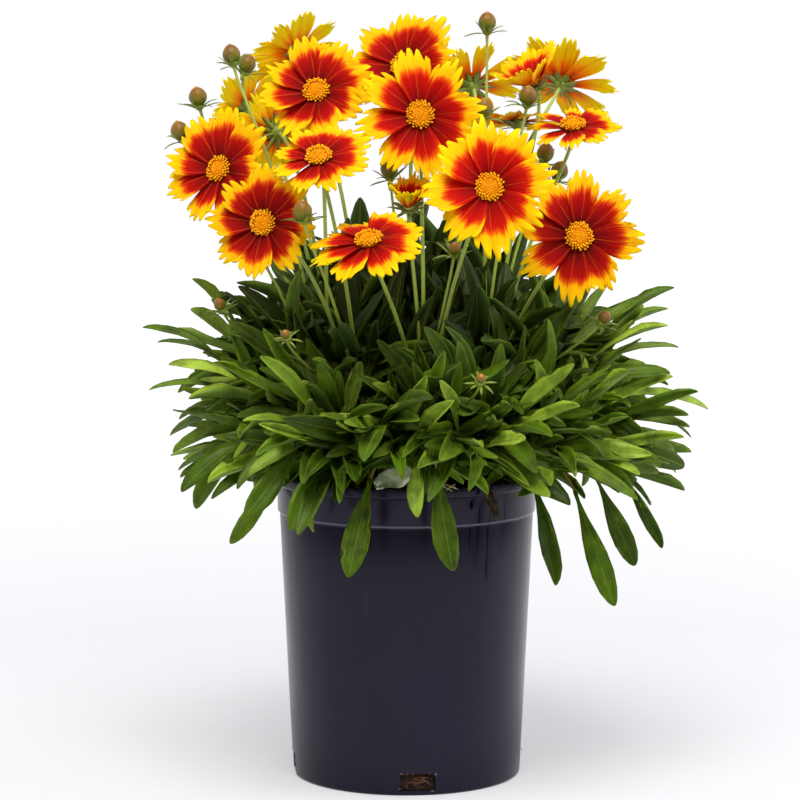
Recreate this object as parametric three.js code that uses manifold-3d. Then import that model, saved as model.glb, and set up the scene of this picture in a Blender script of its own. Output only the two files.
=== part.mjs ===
// A coreopsis in its nursery pot: pot, potting mix, nine leafy clumps with their flower
// stalks, and a head on every stalk. Millimetres, +Z up, the origin at the middle of the
// pot's foot, -Y towards the front of the plant.

import * as THREE from 'three';
import { mergeVertices } from 'three/addons/utils/BufferGeometryUtils.js';
import Module from 'manifold-3d';

const wasm = await Module();
wasm.setup();

// ---- driving dimensions ----

const GAP = 0.3; // between pieces that touch
const DEG = Math.PI / 180;
const UP = new THREE.Vector3(0, 0, 1);

const POT = {
  height: 190, lipRadius: 82.5, lipHeight: 6, bandRadius: 80.3, bandBottom: 166,
  bodyRadius: 79, footRadius: 71.1, wall: 1.4, floor: 3, sides: 36,
};
const NOTCH = { count: 4, heading: -84.5, width: 21.5, height: 14 };
const SOIL = { edgeHeight: 176, middleHeight: 181, lump: 1.1, rings: 2, sides: 24 };

// Each outer clump fills the wedge between two of these headings (degrees from +X), outside
// the core, where the middle clump stands.
const WEDGE_EDGES = [-140, -105, -50, -6, 30, 98, 136, 172, 220];
const CORE_RADIUS = 32;
const CLEAR = 0.5; // from a clump's outermost point to the side of its wedge
const CROWN = { ring: 50, radius: 8.5, hole: 10.5, depth: 12, collar: 187, root: 197, sides: 6 };

// The mound's crowded inside, a low dome about a middle above the pot: how far out it comes
// and how high it stands, then the heights of its rings and how far out each one comes.
const MOUND = { middle: 215, reach: 99, rise: 70, levels: [[191, 74], [204, 94], [236, 99], [264, 80]] };
const LEAF = {
  perDegree: 1, inMiddle: 16, shortest: 50, longest: 74, widthShare: 0.235, keel: 1.3, sunk: 10, nudges: 12,
};
const CLUMP_SEEDS = [108, 103, 103, 114, 102, 110, 110, 113, 106];
const LEAF_STALK = 1; // radius
// Half the blade's width, as a share of its widest, at each station along its length.
const LEAF_STATIONS = [[0.36, 0.62], [0.72, 1]];
const STALK = { radius: 1.5, spans: 5, rise: 0.55, neck: 22 };
const BRACTS = { count: 8, tip: 10.5, valley: 2.6, top: -1.2, rim: -2.6, bottom: -5 };

const PETAL = { count: 8, length: 35, thickness: 0.9, twist: 13 * DEG, flat: 9, spine: [0.21, 0.6] };
const HUB = { half: 0.9 };
const DISC = { radius: 8.8, height: 4.6, base: 1.2, sides: 10 };
const BUD = { radius: 6, height: 11.5, sides: 8 };

// Open blooms: the middle of the disc, the compass heading it faces (0 is the front, + to the
// right), its elevation, and where they differ from the usual its size and its cup, the angle
// that the petals rise above flat.
const BLOOMS = [
  { name: 'A', at: [-116, -30, 380], heading: -38, elevation: 22 },
  { name: 'B', at: [-55, -40, 428], heading: -8, elevation: 30 },
  { name: 'C', at: [-77, 100, 457], heading: -150, elevation: 35, size: 0.95 },
  { name: 'D', at: [-105, 86, 414], heading: -140, elevation: 20, size: 0.9 },
  { name: 'E', at: [-52, -110, 388], heading: -12, elevation: 60, size: 0.9 },
  { name: 'F', at: [-84, -95, 350], heading: -18, elevation: 12 },
  { name: 'G', at: [-22, -130, 343], heading: -20, elevation: 58 },
  { name: 'H', at: [-2, -10, 444], heading: -20, elevation: 38 },
  { name: 'I', at: [8, -70, 413], heading: 0, elevation: 12, size: 1.08 },
  { name: 'J', at: [48, -115, 372], heading: 2, elevation: 10, size: 1.08 },
  { name: 'K', at: [103, -75, 341], heading: 10, elevation: 8 },
  { name: 'L', at: [101, -6, 405], heading: -5, elevation: 67, size: 0.9 },
  { name: 'M', at: [101, 96, 430], heading: 160, elevation: 35 },
  { name: 'N', at: [41, 110, 431], heading: -160, elevation: 35 },
  { name: 'O', at: [77, 22, 437], heading: -60, elevation: 60, size: 0.85, cup: 42 },
  { name: 'P', at: [1, -64, 363], heading: 0, elevation: 62, size: 0.62, cup: 62 },
  { name: 'Q', at: [63, 54, 406], heading: 180, elevation: 75, size: 0.8 },
  { name: 'R', at: [-84, 24, 402], heading: -150, elevation: 15, size: 0.95 },
];

// Closed buds: the middle of the ball, and the way it leans from upright.
const BUDS = [
  { name: '01', at: [-108, -1, 450], lean: [-0.2, 0.1] },
  { name: '02', at: [-100, 55, 444], lean: [0.35, -0.1] },
  { name: '03', at: [-129, 4, 424], lean: [-0.15, -0.1] },
  { name: '04', at: [-141, 8, 403], lean: [-0.3, -0.2] },
  { name: '05', at: [-61, -122, 360], lean: [-0.2, -0.15] },
  { name: '06', at: [50, 20, 470], lean: [0, -0.1] },
  { name: '07', at: [74, -20, 425], lean: [0.1, -0.3] },
  { name: '08', at: [48, 10, 417], lean: [0.1, -0.4] },
  { name: '09', at: [87, 20, 389], lean: [0.2, -0.2] },
  { name: '10', at: [97, 40, 377], lean: [0.3, -0.2] },
  { name: '11', at: [-11, 20, 379], lean: [-0.1, -0.2] },
  { name: '12', at: [121, -60, 294], lean: [0.7, -0.2] },
  { name: '13', at: [29, -60, 336], lean: [0.1, -0.4] },
  { name: '14', at: [-116, -20, 299], lean: [-0.4, -0.3] },
];

// Young heads, all bract, on short stalks at the front of the mound.
const GREEN_HEADS = [
  { at: [43, -140, 266], lean: [0.1, -0.9] },
  { at: [-72, -110, 289], lean: [-0.2, -0.8] },
];

// The leaves that reach out of the mound's outline: where the tip is, how far the leaf and
// its stalk rise above the straight line from the crown, the blade's length and its width.
const REACHING_LEAVES = [
  { tip: [-162, -20, 279], rise: 46, length: 56, width: 11 },
  { tip: [-158, 12, 268], rise: 40, length: 52, width: 10 },
  { tip: [-144, -45, 256], rise: 42, length: 50, width: 13 },
  { tip: [-160, -14, 240], rise: 44, length: 54, width: 11 },
  { tip: [-136, 14, 308], rise: 24, length: 48, width: 12 },
  { tip: [-150, 22, 204], rise: 52, length: 56, width: 13 },
  { tip: [-128, -72, 182], rise: 58, length: 58, width: 14 },
  { tip: [-123, -58, 172], rise: 60, length: 52, width: 13 },
  { tip: [-100, -88, 150], rise: 64, length: 54, width: 14 },
  { tip: [-84, -116, 173], rise: 60, length: 56, width: 14 },
  { tip: [-62, -124, 170], rise: 58, length: 50, width: 13 },
  { tip: [-33, -128, 144], rise: 74, length: 58, width: 16 },
  { tip: [4, -138, 181], rise: 56, length: 44, width: 12 },
  { tip: [31, -124, 148], rise: 72, length: 60, width: 15 },
  { tip: [-27, -164, 217], rise: 52, length: 62, width: 15 },
  { tip: [88, -86, 132], rise: 74, length: 64, width: 12 },
  { tip: [122, -76, 117], rise: 84, length: 68, width: 14 },
  { tip: [137, -44, 136], rise: 78, length: 56, width: 13 },
  { tip: [156, -22, 143], rise: 76, length: 58, width: 12 },
  { tip: [160, -56, 179], rise: 62, length: 62, width: 13 },
  { tip: [166, -24, 191], rise: 56, length: 56, width: 12 },
  { tip: [186, -30, 228], rise: 50, length: 64, width: 13 },
  { tip: [180, 22, 207], rise: 54, length: 60, width: 12 },
  { tip: [168, 6, 302], rise: 30, length: 58, width: 12 },
  { tip: [166, 34, 288], rise: 32, length: 52, width: 12 },
  { tip: [158, -48, 284], rise: 34, length: 54, width: 13 },
  { tip: [172, 16, 264], rise: 40, length: 56, width: 13 },
  { tip: [156, -70, 250], rise: 44, length: 54, width: 14 },
  { tip: [164, 62, 236], rise: 46, length: 58, width: 13 },
  { tip: [130, 112, 190], rise: 58, length: 58, width: 14 },
  { tip: [112, 116, 278], rise: 36, length: 54, width: 12 },
  { tip: [84, 140, 228], rise: 48, length: 58, width: 13 },
  { tip: [48, 136, 150], rise: 72, length: 58, width: 14 },
  { tip: [36, 160, 252], rise: 44, length: 56, width: 13 },
  { tip: [-18, 158, 196], rise: 56, length: 58, width: 14 },
  { tip: [-34, 150, 276], rise: 38, length: 54, width: 12 },
  { tip: [-62, 142, 236], rise: 46, length: 56, width: 13 },
  { tip: [-92, 110, 158], rise: 68, length: 56, width: 14 },
  { tip: [-112, 98, 262], rise: 40, length: 54, width: 12 },
  { tip: [-142, 62, 214], rise: 52, length: 56, width: 13 },
  { tip: [-142, 46, 284], rise: 34, length: 50, width: 12 },
];

// ---- materials ----

function finish(color, roughness) {
  return new THREE.MeshStandardMaterial({ color, roughness, metalness: 0, flatShading: true });
}

const potPlastic = finish(0x2b2a35, 0.32);
const pottingMix = finish(0x33261d, 0.95);
const leafGreen = finish(0x3f7d22, 0.5);
const petalRed = finish(0xb0351a, 0.55);
const discGold = finish(0xe59a12, 0.8);
const budOlive = finish(0x77602c, 0.6);

// ---- small tools ----

// A repeatable draw from low to high.
function drawer(seed) {
  let state = seed;
  return (low, high) => {
    state = (state * 1664525 + 1013904223) % 4294967296;
    return low + (high - low) * state / 4294967296;
  };
}

function vector(x, y, z) {
  return new THREE.Vector3(x, y, z);
}

function along(point, direction, distance) {
  return point.clone().addScaledVector(direction, distance);
}

function headingOf(degrees) {
  return vector(Math.cos(degrees * DEG), Math.sin(degrees * DEG), 0);
}

function solidFrom(points, faces) {
  const vertProperties = Float32Array.from(points.flatMap((p) => p.toArray()));
  const triVerts = Uint32Array.from(faces.flat());
  return new wasm.Manifold(new wasm.Mesh({ numProp: 3, vertProperties, triVerts }));
}

function solidOf(geometry) {
  geometry.deleteAttribute('normal');
  geometry.deleteAttribute('uv');
  const merged = mergeVertices(geometry, 1e-4);
  const corners = merged.index.array;
  const kept = [];
  for (let i = 0; i < corners.length; i += 3) {
    const [a, b, c] = corners.slice(i, i + 3);
    if (a !== b && b !== c && c !== a) kept.push(a, b, c);
  }
  const vertProperties = Float32Array.from(merged.attributes.position.array);
  return new wasm.Manifold(
    new wasm.Mesh({ numProp: 3, vertProperties, triVerts: Uint32Array.from(kept) }));
}

function joined(solids) {
  return wasm.Manifold.union(solids);
}

// The piece's main body, without any scrap that doesn't touch it.
function mainBody(solid) {
  const bodies = solid.decompose();
  return bodies.reduce((best, body) => (body.volume() > best.volume() ? body : best));
}

function meshOf(name, solid, material) {
  const { vertProperties, triVerts } = solid.getMesh();
  const geometry = new THREE.BufferGeometry();
  geometry.setAttribute('position', new THREE.BufferAttribute(vertProperties, 3));
  geometry.setIndex(new THREE.BufferAttribute(triVerts, 1));
  geometry.computeVertexNormals();
  const mesh = new THREE.Mesh(geometry, material);
  mesh.name = name;
  return mesh;
}

// A closed skin over rings of points. Each ring turns counter-clockwise about the direction
// that the rings follow, and an end closes to its point or, without one, flat.
function loft(rings, startPoint, endPoint) {
  const points = [];
  const faces = [];
  const numbered = rings.map((ring) => ring.map((point) => points.push(point) - 1));
  for (let r = 0; r + 1 < rings.length; r += 1) faces.push(...stitched(numbered[r], numbered[r + 1]));
  const first = numbered[0];
  const last = numbered[numbered.length - 1];
  faces.push(...closed(first, startPoint && points.push(startPoint) - 1).map((face) => face.reverse()));
  faces.push(...closed(last, endPoint && points.push(endPoint) - 1));
  return solidFrom(points, faces);
}

// Triangles between two rings, which may differ in their number of points.
function stitched(low, high) {
  const faces = [];
  let [i, j] = [0, 0];
  while (i < low.length || j < high.length) {
    const [a, b] = [low[i % low.length], high[j % high.length]];
    const highIsNext = (j + 1) / high.length < (i + 1) / low.length + 1e-9;
    if (i >= low.length || (highIsNext && j < high.length)) {
      j += 1;
      faces.push([a, high[j % high.length], b]);
    } else {
      i += 1;
      faces.push([a, low[i % low.length], b]);
    }
  }
  return faces;
}

// Triangles that close a ring, fanned from a point or, without one, from its first corner.
function closed(ring, tip) {
  const faces = [];
  if (tip === undefined) {
    for (let i = 1; i + 1 < ring.length; i += 1) faces.push([ring[0], ring[i], ring[i + 1]]);
  } else {
    ring.forEach((corner, i) => faces.push([tip, corner, ring[(i + 1) % ring.length]]));
  }
  return faces;
}

// A ring of points round a centre, in the plane of two unit vectors.
function ringAt(centre, side, lift, radii) {
  return radii.map((radius, i) => {
    const turn = 2 * Math.PI * i / radii.length;
    return along(along(centre, side, radius * Math.cos(turn)), lift, radius * Math.sin(turn));
  });
}

// Places along a curve with two unit vectors across it, which turn with it as little as
// they can.
function framesAlong(curve, spans) {
  const frames = [];
  let side = vector(1, 0, 0);
  for (let k = 0; k <= spans; k += 1) {
    const tangent = curve.getTangent(k / spans);
    side = along(side, tangent, -side.dot(tangent)).normalize();
    frames.push({ centre: curve.getPoint(k / spans), side, lift: tangent.clone().cross(side) });
  }
  return frames;
}

// ---- pot and potting mix ----

// The outside of the plain body at a height: it widens evenly from the foot to the band.
function bodyRadiusAt(z) {
  return POT.footRadius + (POT.bodyRadius - POT.footRadius) * z / POT.bandBottom;
}

// A solid of revolution about Z, from radius and height pairs that start and end on the axis.
function turned(profile, sides) {
  const points = profile.map(([r, z]) => new THREE.Vector2(r, z));
  return solidOf(new THREE.LatheGeometry(points, sides).rotateX(Math.PI / 2));
}

function potSolid() {
  const { height, lipRadius, lipHeight, bandRadius, bandBottom, wall, floor } = POT;
  const lipBottom = height - lipHeight;
  const shell = turned([
    [0, 0],
    [POT.footRadius, 0],
    [bodyRadiusAt(bandBottom - 1), bandBottom - 1],
    [bandRadius, bandBottom + 1],
    [bandRadius, lipBottom - 1],
    [lipRadius, lipBottom],
    [lipRadius, height - 1],
    [bandRadius - wall, height],
    [bandRadius - wall, bandBottom],
    [bodyRadiusAt(floor) - wall, floor],
    [0, floor],
  ], POT.sides);
  return shell.subtract(joined(notchCutters()));
}

// Each drainage notch goes through the wall above the floor, and past the floor's edge.
function notchCutters() {
  const cutters = [];
  const reach = 20;
  for (let i = 0; i < NOTCH.count; i += 1) {
    const heading = (NOTCH.heading + i * 360 / NOTCH.count) * DEG;
    for (const [inner, bottom] of [[POT.footRadius - POT.wall, -5], [POT.footRadius - 5, POT.floor]]) {
      const box = new THREE.BoxGeometry(reach, NOTCH.width, NOTCH.height - bottom);
      box.translate(inner + reach / 2, 0, (NOTCH.height + bottom) / 2);
      cutters.push(solidOf(box.rotateZ(heading)));
    }
  }
  return cutters;
}

function soilLump(x, y) {
  return SOIL.lump * (Math.sin(x * 0.21 + 1) * Math.cos(y * 0.17) + 0.6 * Math.sin(x * 0.09 - y * 0.31));
}

function soilSolid(crowns) {
  const { edgeHeight, middleHeight, rings } = SOIL;
  const inset = POT.wall + GAP;
  const bottom = POT.floor + GAP;
  const rim = bodyRadiusAt(POT.bandBottom) - inset;
  const profile = [
    [0, bottom],
    [bodyRadiusAt(bottom) - inset, bottom],
    [rim, POT.bandBottom],
    [rim, edgeHeight - 2],
  ];
  for (let i = rings; i >= 0; i -= 1) {
    const share = i / rings;
    profile.push([share * (rim - 1), middleHeight + (edgeHeight - middleHeight) * share * share]);
  }
  const points = profile.map(([r, z]) => new THREE.Vector2(r, z));
  const geometry = new THREE.LatheGeometry(points, SOIL.sides).rotateX(Math.PI / 2);
  const place = geometry.attributes.position;
  for (let i = 0; i < place.count; i += 1) {
    const onTop = place.getZ(i) > edgeHeight - 1;
    if (onTop) place.setZ(i, place.getZ(i) + soilLump(place.getX(i), place.getY(i)));
  }
  return solidOf(geometry).subtract(joined(crowns.map(crownHole)));
}

function middleOf(crown, z) {
  return vector(crown.middle.x, crown.middle.y, z);
}

function crownRing(crown, z, radius) {
  const radii = Array(CROWN.sides).fill(radius);
  return ringAt(middleOf(crown, z), vector(1, 0, 0), vector(0, 1, 0), radii);
}

function crownHole(crown) {
  const bottom = SOIL.edgeHeight - CROWN.depth - GAP;
  return loft([crownRing(crown, bottom, CROWN.hole), crownRing(crown, POT.height, CROWN.hole)]);
}

// The crowded inside of a clump, which its leaves and stalks stand out of: a plug in the
// potting mix that widens above it to fill the clump's share of the mound.
function crownSolid(crown) {
  const levels = MOUND.levels.map(([z, outer]) => shareRing(crown, z, outer));
  const peak = along(crown.middle.clone().multiplyScalar(1.2), UP, MOUND.middle + MOUND.rise);
  return loft([
    crownRing(crown, SOIL.edgeHeight - CROWN.depth, CROWN.radius),
    crownRing(crown, CROWN.collar, CROWN.radius),
    ...levels,
  ], undefined, peak);
}

// A level outline of the clump's share of the mound, out to a radius: two corners next to
// the middle clump and an arc between the sides of the wedge.
function shareRing(crown, z, outer) {
  const inside = 2 * CLEAR;
  if (crown.core) return crownRing(crown, z, CORE_RADIUS - inside);
  const spread = crown.spread * DEG;
  const inner = CORE_RADIUS + inside;
  const half = (inner * Math.sin(spread) - inside) / Math.cos(spread);
  const out = headingOf(crown.heading);
  const left = headingOf(crown.heading + 90);
  const ring = [along(out.clone().multiplyScalar(inner), left, -half)];
  const widest = crown.spread - Math.asin(inside / outer) / DEG;
  for (const share of [-1, -0.33, 0.33, 1]) {
    ring.push(headingOf(crown.heading + share * widest).multiplyScalar(outer));
  }
  ring.push(along(out.clone().multiplyScalar(inner), left, half));
  return ring.map((point) => point.setZ(z));
}

// ---- where each clump may grow ----

function crownList() {
  const crowns = [];
  for (let i = 0; i + 1 < WEDGE_EDGES.length; i += 1) {
    const [from, to] = [WEDGE_EDGES[i], WEDGE_EDGES[i + 1]];
    const heading = (from + to) / 2;
    crowns.push({ heading, spread: (to - from) / 2, middle: headingOf(heading).multiplyScalar(CROWN.ring) });
  }
  crowns.push({ heading: 0, spread: 180, middle: vector(0, 0, 0), core: true });
  return crowns;
}

// How far a point is inside the clump's own share of the mound.
function depthInside(crown, point, outerCrowns) {
  if (crown.core) {
    return Math.min(...outerCrowns.map((outer) => CORE_RADIUS - point.dot(headingOf(outer.heading))));
  }
  const fromRight = headingOf(crown.heading - crown.spread + 90).dot(point);
  const fromLeft = headingOf(crown.heading + crown.spread - 90).dot(point);
  const fromCore = point.dot(headingOf(crown.heading)) - CORE_RADIUS;
  return Math.min(fromRight, fromLeft, fromCore);
}

// Nothing green comes nearer than this to the pot's rim or the potting mix.
function clearsPot(point) {
  const radius = Math.hypot(point.x, point.y);
  if (radius < POT.bandRadius - POT.wall - 3) return point.z > SOIL.middleHeight + 4;
  return radius > POT.lipRadius + 2 || point.z > POT.height + 2;
}

// Leaves keep out of the space round every bloom, bud and young head.
function clearsHeads(point) {
  return HEADS.every(({ middle, facing, radius, front, back }) => {
    const offset = point.clone().sub(middle);
    const height = offset.dot(facing);
    if (height > front || height < -back) return true;
    return along(offset, facing, -height).length() > radius;
  });
}

// ---- leaves and shoots ----

// The middle line of a blade: it leaves its root at a heading and a pitch, and bends down
// evenly by its droop.
function bladePoint(leaf, share) {
  const end = leaf.pitch - leaf.droop * share;
  const out = (Math.sin(leaf.pitch) - Math.sin(end)) / leaf.droop;
  const up = (Math.cos(end) - Math.cos(leaf.pitch)) / leaf.droop;
  const forward = vector(Math.cos(leaf.heading), Math.sin(leaf.heading), 0);
  return along(along(leaf.root, forward, out * leaf.length), UP, up * leaf.length);
}

// A blade is three-sided: flat across the top from edge to edge, with a keel below.
function bladeRings(leaf) {
  const acrossFlat = vector(Math.sin(leaf.heading), -Math.cos(leaf.heading), 0);
  return LEAF_STATIONS.map(([share, width]) => {
    const centre = bladePoint(leaf, share);
    const pitch = leaf.pitch - leaf.droop * share;
    const forward = vector(Math.cos(leaf.heading), Math.sin(leaf.heading), 0);
    const normal = along(UP.clone().multiplyScalar(Math.cos(pitch)), forward, -Math.sin(pitch));
    const level = acrossFlat.clone().multiplyScalar(Math.cos(leaf.roll));
    const across = along(level, normal, Math.sin(leaf.roll));
    const half = width * leaf.width / 2;
    return [along(centre, across, half), along(centre, normal, -LEAF.keel), along(centre, across, -half)];
  });
}

// A side leaf runs to a point at both ends, with its root inside its shoot.
function bladeSolid(leaf) {
  return loft(bladeRings(leaf), bladePoint(leaf, 0), bladePoint(leaf, 1));
}

// Round spaces along a blade, which the next leaves keep out of.
function bladeSpace(leaf) {
  return [0.3, 0.5, 0.7, 0.88, 1].map((share) => (
    { point: bladePoint(leaf, share), radius: 0.36 * leaf.width }));
}

function bladeFits(leaf, crown, outerCrowns, taken) {
  const tested = [...bladeRings(leaf).flat(), bladePoint(leaf, 1)];
  for (const share of [0.15, 0.45, 0.7, 0.92]) tested.push(bladePoint(leaf, share));
  const isInShare = tested.every((point) => (
    depthInside(crown, point, outerCrowns) > CLEAR && clearsPot(point) && clearsHeads(point)));
  return isInShare && bladeSpace(leaf).every((own) => (
    taken.every((other) => own.point.distanceTo(other.point) > own.radius + other.radius)));
}

// The short way round from one heading to another.
function turnBetween(from, to) {
  return Math.atan2(Math.sin(to - from), Math.cos(to - from));
}

// A leaf that would leave its clump's share, or cross what has grown, is turned towards the
// wedge's middle, lifted or lowered, and shortened, in small steps. One that still doesn't
// fit isn't grown.
function bentClear(leaf, crown, outerCrowns, taken) {
  const home = crown.core ? leaf.heading : crown.heading * DEG;
  for (let nudge = 0; nudge < LEAF.nudges; nudge += 1) {
    const size = 0.975 ** nudge;
    const fitted = {
      ...leaf,
      heading: leaf.heading + 0.07 * nudge * turnBetween(leaf.heading, home),
      pitch: leaf.pitch + 0.05 * nudge * ((nudge + 1) % 3 - 1),
      length: leaf.length * size,
      width: leaf.width * size,
    };
    if (bladeFits(fitted, crown, outerCrowns, taken)) return fitted;
  }
  return null;
}

// Where a stalk leaves its crown: those that reach further out start further out.
function rootOf(crown, end) {
  const reach = vector(end.x - crown.middle.x, end.y - crown.middle.y, 0);
  const share = Math.min(1, reach.length() / 100);
  return along(middleOf(crown, CROWN.root), reach.normalize(), share * CROWN.radius * 0.6);
}

function curveSpace(curve, radius) {
  return curve.getSpacedPoints(14).slice(2).map((point) => ({ point, radius }));
}

// The leaves that stand out of a clump's share of the mound, in a spiral from the rim to the
// top: the low ones lie out over the rim and droop, the high ones stand up.
function moundLeaves(crown, draw) {
  const count = crown.core ? LEAF.inMiddle : Math.round(2 * crown.spread * LEAF.perDegree);
  const leaves = [];
  for (let i = 0; i < count; i += 1) {
    const tier = crown.core ? 1 : (i + 0.5) / count;
    const turn = (i * 0.618) % 1 * 2 - 1;
    const heading = crown.core ? 360 * turn : crown.heading + turn * (crown.spread - 4) + draw(-3, 3);
    const elevation = Math.asin(1.08 * tier - 0.2);
    const level = MOUND.middle + MOUND.rise * Math.sin(elevation) - LEAF.sunk;
    const reach = Math.max(CORE_RADIUS + 8, MOUND.reach * Math.cos(elevation) - LEAF.sunk);
    const length = draw(LEAF.shortest, LEAF.longest);
    leaves.push({
      root: headingOf(heading).multiplyScalar(crown.core ? draw(8, 22) : reach).setZ(level),
      heading: (heading + draw(-14, 14)) * DEG,
      pitch: 0.35 + 0.75 * tier + draw(-0.15, 0.25),
      droop: 1.5 - 0.9 * tier + draw(-0.2, 0.3),
      roll: draw(-0.6, 0.6),
      length,
      width: length * LEAF.widthShare * draw(0.85, 1.1),
    });
  }
  return leaves;
}

// A long-stalked leaf from the crown to a set tip, whose blade takes the last of its curve.
function reachingLeaf({ tip, rise, length, width }, crown, draw) {
  const end = vector(...tip);
  const root = rootOf(crown, end);
  const bend = root.clone().lerp(end, 0.62);
  bend.z += rise * 1.6;
  const curve = new THREE.QuadraticBezierCurve3(root, bend, end);
  return { curve, bladeShare: 1 - length / curve.getLength(), width, roll: draw(-0.9, 0.9) };
}

function reachingLeafSpace({ curve, bladeShare, width }) {
  return curve.getSpacedPoints(12).slice(2).map((point, i) => (
    { point, radius: (i + 2) / 12 > bladeShare + 0.05 ? 0.36 * width : LEAF_STALK }));
}

// Stalk and blade are three-sided all the way.
function reachingLeafSolid({ curve, bladeShare, width, roll }) {
  const stalkRings = [0, 0.5, 1].map((share) => {
    const half = LEAF_STALK * (1.2 - 0.4 * share);
    return reachingLeafRing(curve, share * bladeShare, { half, keel: half, crest: half / 2, roll: 0 });
  });
  const bladeRings = LEAF_STATIONS.map(([share, part]) => {
    const place = bladeShare + (1 - bladeShare) * share;
    const half = part * width / 2;
    return reachingLeafRing(curve, place, { half, keel: LEAF.keel, crest: 0, roll: share * roll });
  });
  return loft([...stalkRings, ...bladeRings], undefined, curve.getPointAt(1));
}

function reachingLeafRing(curve, place, { half, keel, crest, roll }) {
  const centre = curve.getPointAt(place);
  const ahead = curve.getTangentAt(place);
  const level = vector(ahead.x, ahead.y, 0).normalize();
  const across = level.cross(UP).applyAxisAngle(ahead, roll);
  const normal = across.clone().cross(ahead);
  const top = along(centre, normal, crest);
  return [along(top, across, half), along(centre, normal, -keel), along(top, across, -half)];
}

// ---- flower stalks and heads ----

// The way a head faces, from its heading and elevation.
function facingOf({ heading, elevation }) {
  const level = Math.cos(elevation * DEG);
  return vector(
    level * Math.sin(heading * DEG), -level * Math.cos(heading * DEG), Math.sin(elevation * DEG));
}

// Two unit vectors across a head, at right angles to the way it faces.
function acrossHead(facing) {
  const side = vector(0, 0, 1).cross(facing);
  if (side.length() < 0.1) side.set(1, 0, 0);
  side.normalize();
  return [side, facing.clone().cross(side)];
}

function leaningUp([x, y]) {
  return vector(x, y, 1).normalize();
}

// Every head, with where its stalk ends and the round space that leaves keep out of.
function headList() {
  const blooms = BLOOMS.map((bloom) => {
    const facing = facingOf(bloom);
    const size = bloom.size ?? 1;
    const base = along(vector(...bloom.at), facing, -(DISC.base + DISC.height));
    return { base, middle: base, facing, radius: PETAL.length * size + 3, front: 14, back: 9 };
  });
  const small = [...BUDS, ...GREEN_HEADS].map((head) => {
    const facing = leaningUp(head.lean);
    const base = along(vector(...head.at), facing, -BUD.height / 2);
    return { base, middle: base, facing, radius: 13, front: 14, back: 8 };
  });
  return [...blooms, ...small];
}

const HEADS = headList();

// The middle line of a bare stalk, from the crown up to the bracts.
function stalkCurve(head, crown, outerCrowns) {
  const start = rootOf(crown, head.base);
  const end = along(head.base, head.facing, BRACTS.bottom);
  const before = along(end, head.facing, -STALK.neck);
  const inward = crown.middle.clone().multiplyScalar(1.5).setZ(before.z);
  while (depthInside(crown, before, outerCrowns) < 4 && before.distanceTo(inward) > 1) {
    before.lerp(inward, 0.1);
  }
  const rising = along(start, UP, (end.z - start.z) * STALK.rise);
  return new THREE.CubicBezierCurve3(start, rising, before, end);
}

// A stalk with the narrow green bracts at its end, spread like a flat star under the head.
function stalkSolid(curve, head) {
  const frames = framesAlong(curve, STALK.spans);
  const stalkRings = frames.map(({ centre, side, lift }, k) => {
    const radius = STALK.radius * (1.1 - 0.2 * k / STALK.spans);
    return ringAt(centre, side, lift, [radius, radius, radius]);
  });
  const lastSide = frames[STALK.spans].side;
  const side = along(lastSide, head.facing, -lastSide.dot(head.facing)).normalize();
  const lift = head.facing.clone().cross(side);
  const rim = [];
  for (let i = 0; i < 2 * BRACTS.count; i += 1) {
    const turn = Math.PI * i / BRACTS.count;
    const radius = i % 2 === 0 ? BRACTS.tip : BRACTS.valley;
    const level = along(head.base, head.facing, BRACTS.rim);
    rim.push(along(along(level, side, radius * Math.cos(turn)), lift, radius * Math.sin(turn)));
  }
  return loft([...stalkRings, rim], undefined, along(head.base, head.facing, BRACTS.top));
}

// The petal's edge from its root round its teeth, as shares of its length, out and across.
function petalOutline(draw) {
  const tooth = () => draw(-0.025, 0.035);
  const half = [[0.21, 0.085], [0.62, 0.37], [0.87 + tooth(), 0.34]];
  const right = half.map(([r, w]) => [r, -w]);
  const left = half.toReversed();
  const teeth = [
    [0.8, -0.215], [0.97 + tooth(), -0.13], [0.85, -0.03], [1 + tooth(), 0.1], [0.81, 0.2],
  ];
  return [...right, ...teeth, ...left];
}

// A petal's points: its toothed edge, then its spine above and below. The blade is thickest
// along the spine, and turned on its long axis so that one edge lies over its neighbour.
function petalPoints(draw, length, cup) {
  const outline = petalOutline(draw);
  const reach = length * draw(0.95, 1.03);
  const rise = cup + draw(-2, 2) * DEG;
  const curl = draw(0.02, 0.12);
  const narrowing = Math.cos(cup) ** 0.8;
  const place = (r, w, offset) => {
    const out = r * reach;
    const past = Math.max(0, out - PETAL.flat);
    const across = w * reach * narrowing;
    const fold = 0.05 * Math.abs(across) * (out > PETAL.flat ? 1 : 0);
    const bow = past * Math.sin(rise) - curl * past * past / reach;
    return vector(
      Math.min(out, PETAL.flat) + past * Math.cos(rise),
      across * Math.cos(PETAL.twist),
      bow + across * Math.sin(PETAL.twist) + fold + offset);
  };
  const half = PETAL.thickness / 2;
  const edge = outline.map(([r, w]) => place(r, w, 0));
  const spine = (offset) => PETAL.spine.map((r) => place(r, 0, offset));
  return [...edge, ...spine(half), ...spine(-half)];
}

// The faces over one petal's points, seen from above: the edge runs counter-clockwise, and
// each stretch of it closes to the nearer point of the spine.
function petalFaces(edgeCount, spine) {
  const faces = [];
  for (let i = 0; i + 1 < edgeCount; i += 1) {
    const isRoot = i === 0 || i === edgeCount - 2;
    faces.push([i, i + 1, spine[isRoot ? 0 : 1]]);
  }
  faces.push([1, spine[1], spine[0]], [edgeCount - 2, spine[0], spine[1]]);
  return faces;
}

// Puts a solid made about the origin, facing +Z, onto a head.
function ontoHead(solid, base, facing) {
  const [side, lift] = acrossHead(facing);
  const matrix = new THREE.Matrix4().makeBasis(side, lift, facing).setPosition(base);
  return solid.transform(matrix.toArray());
}

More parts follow.
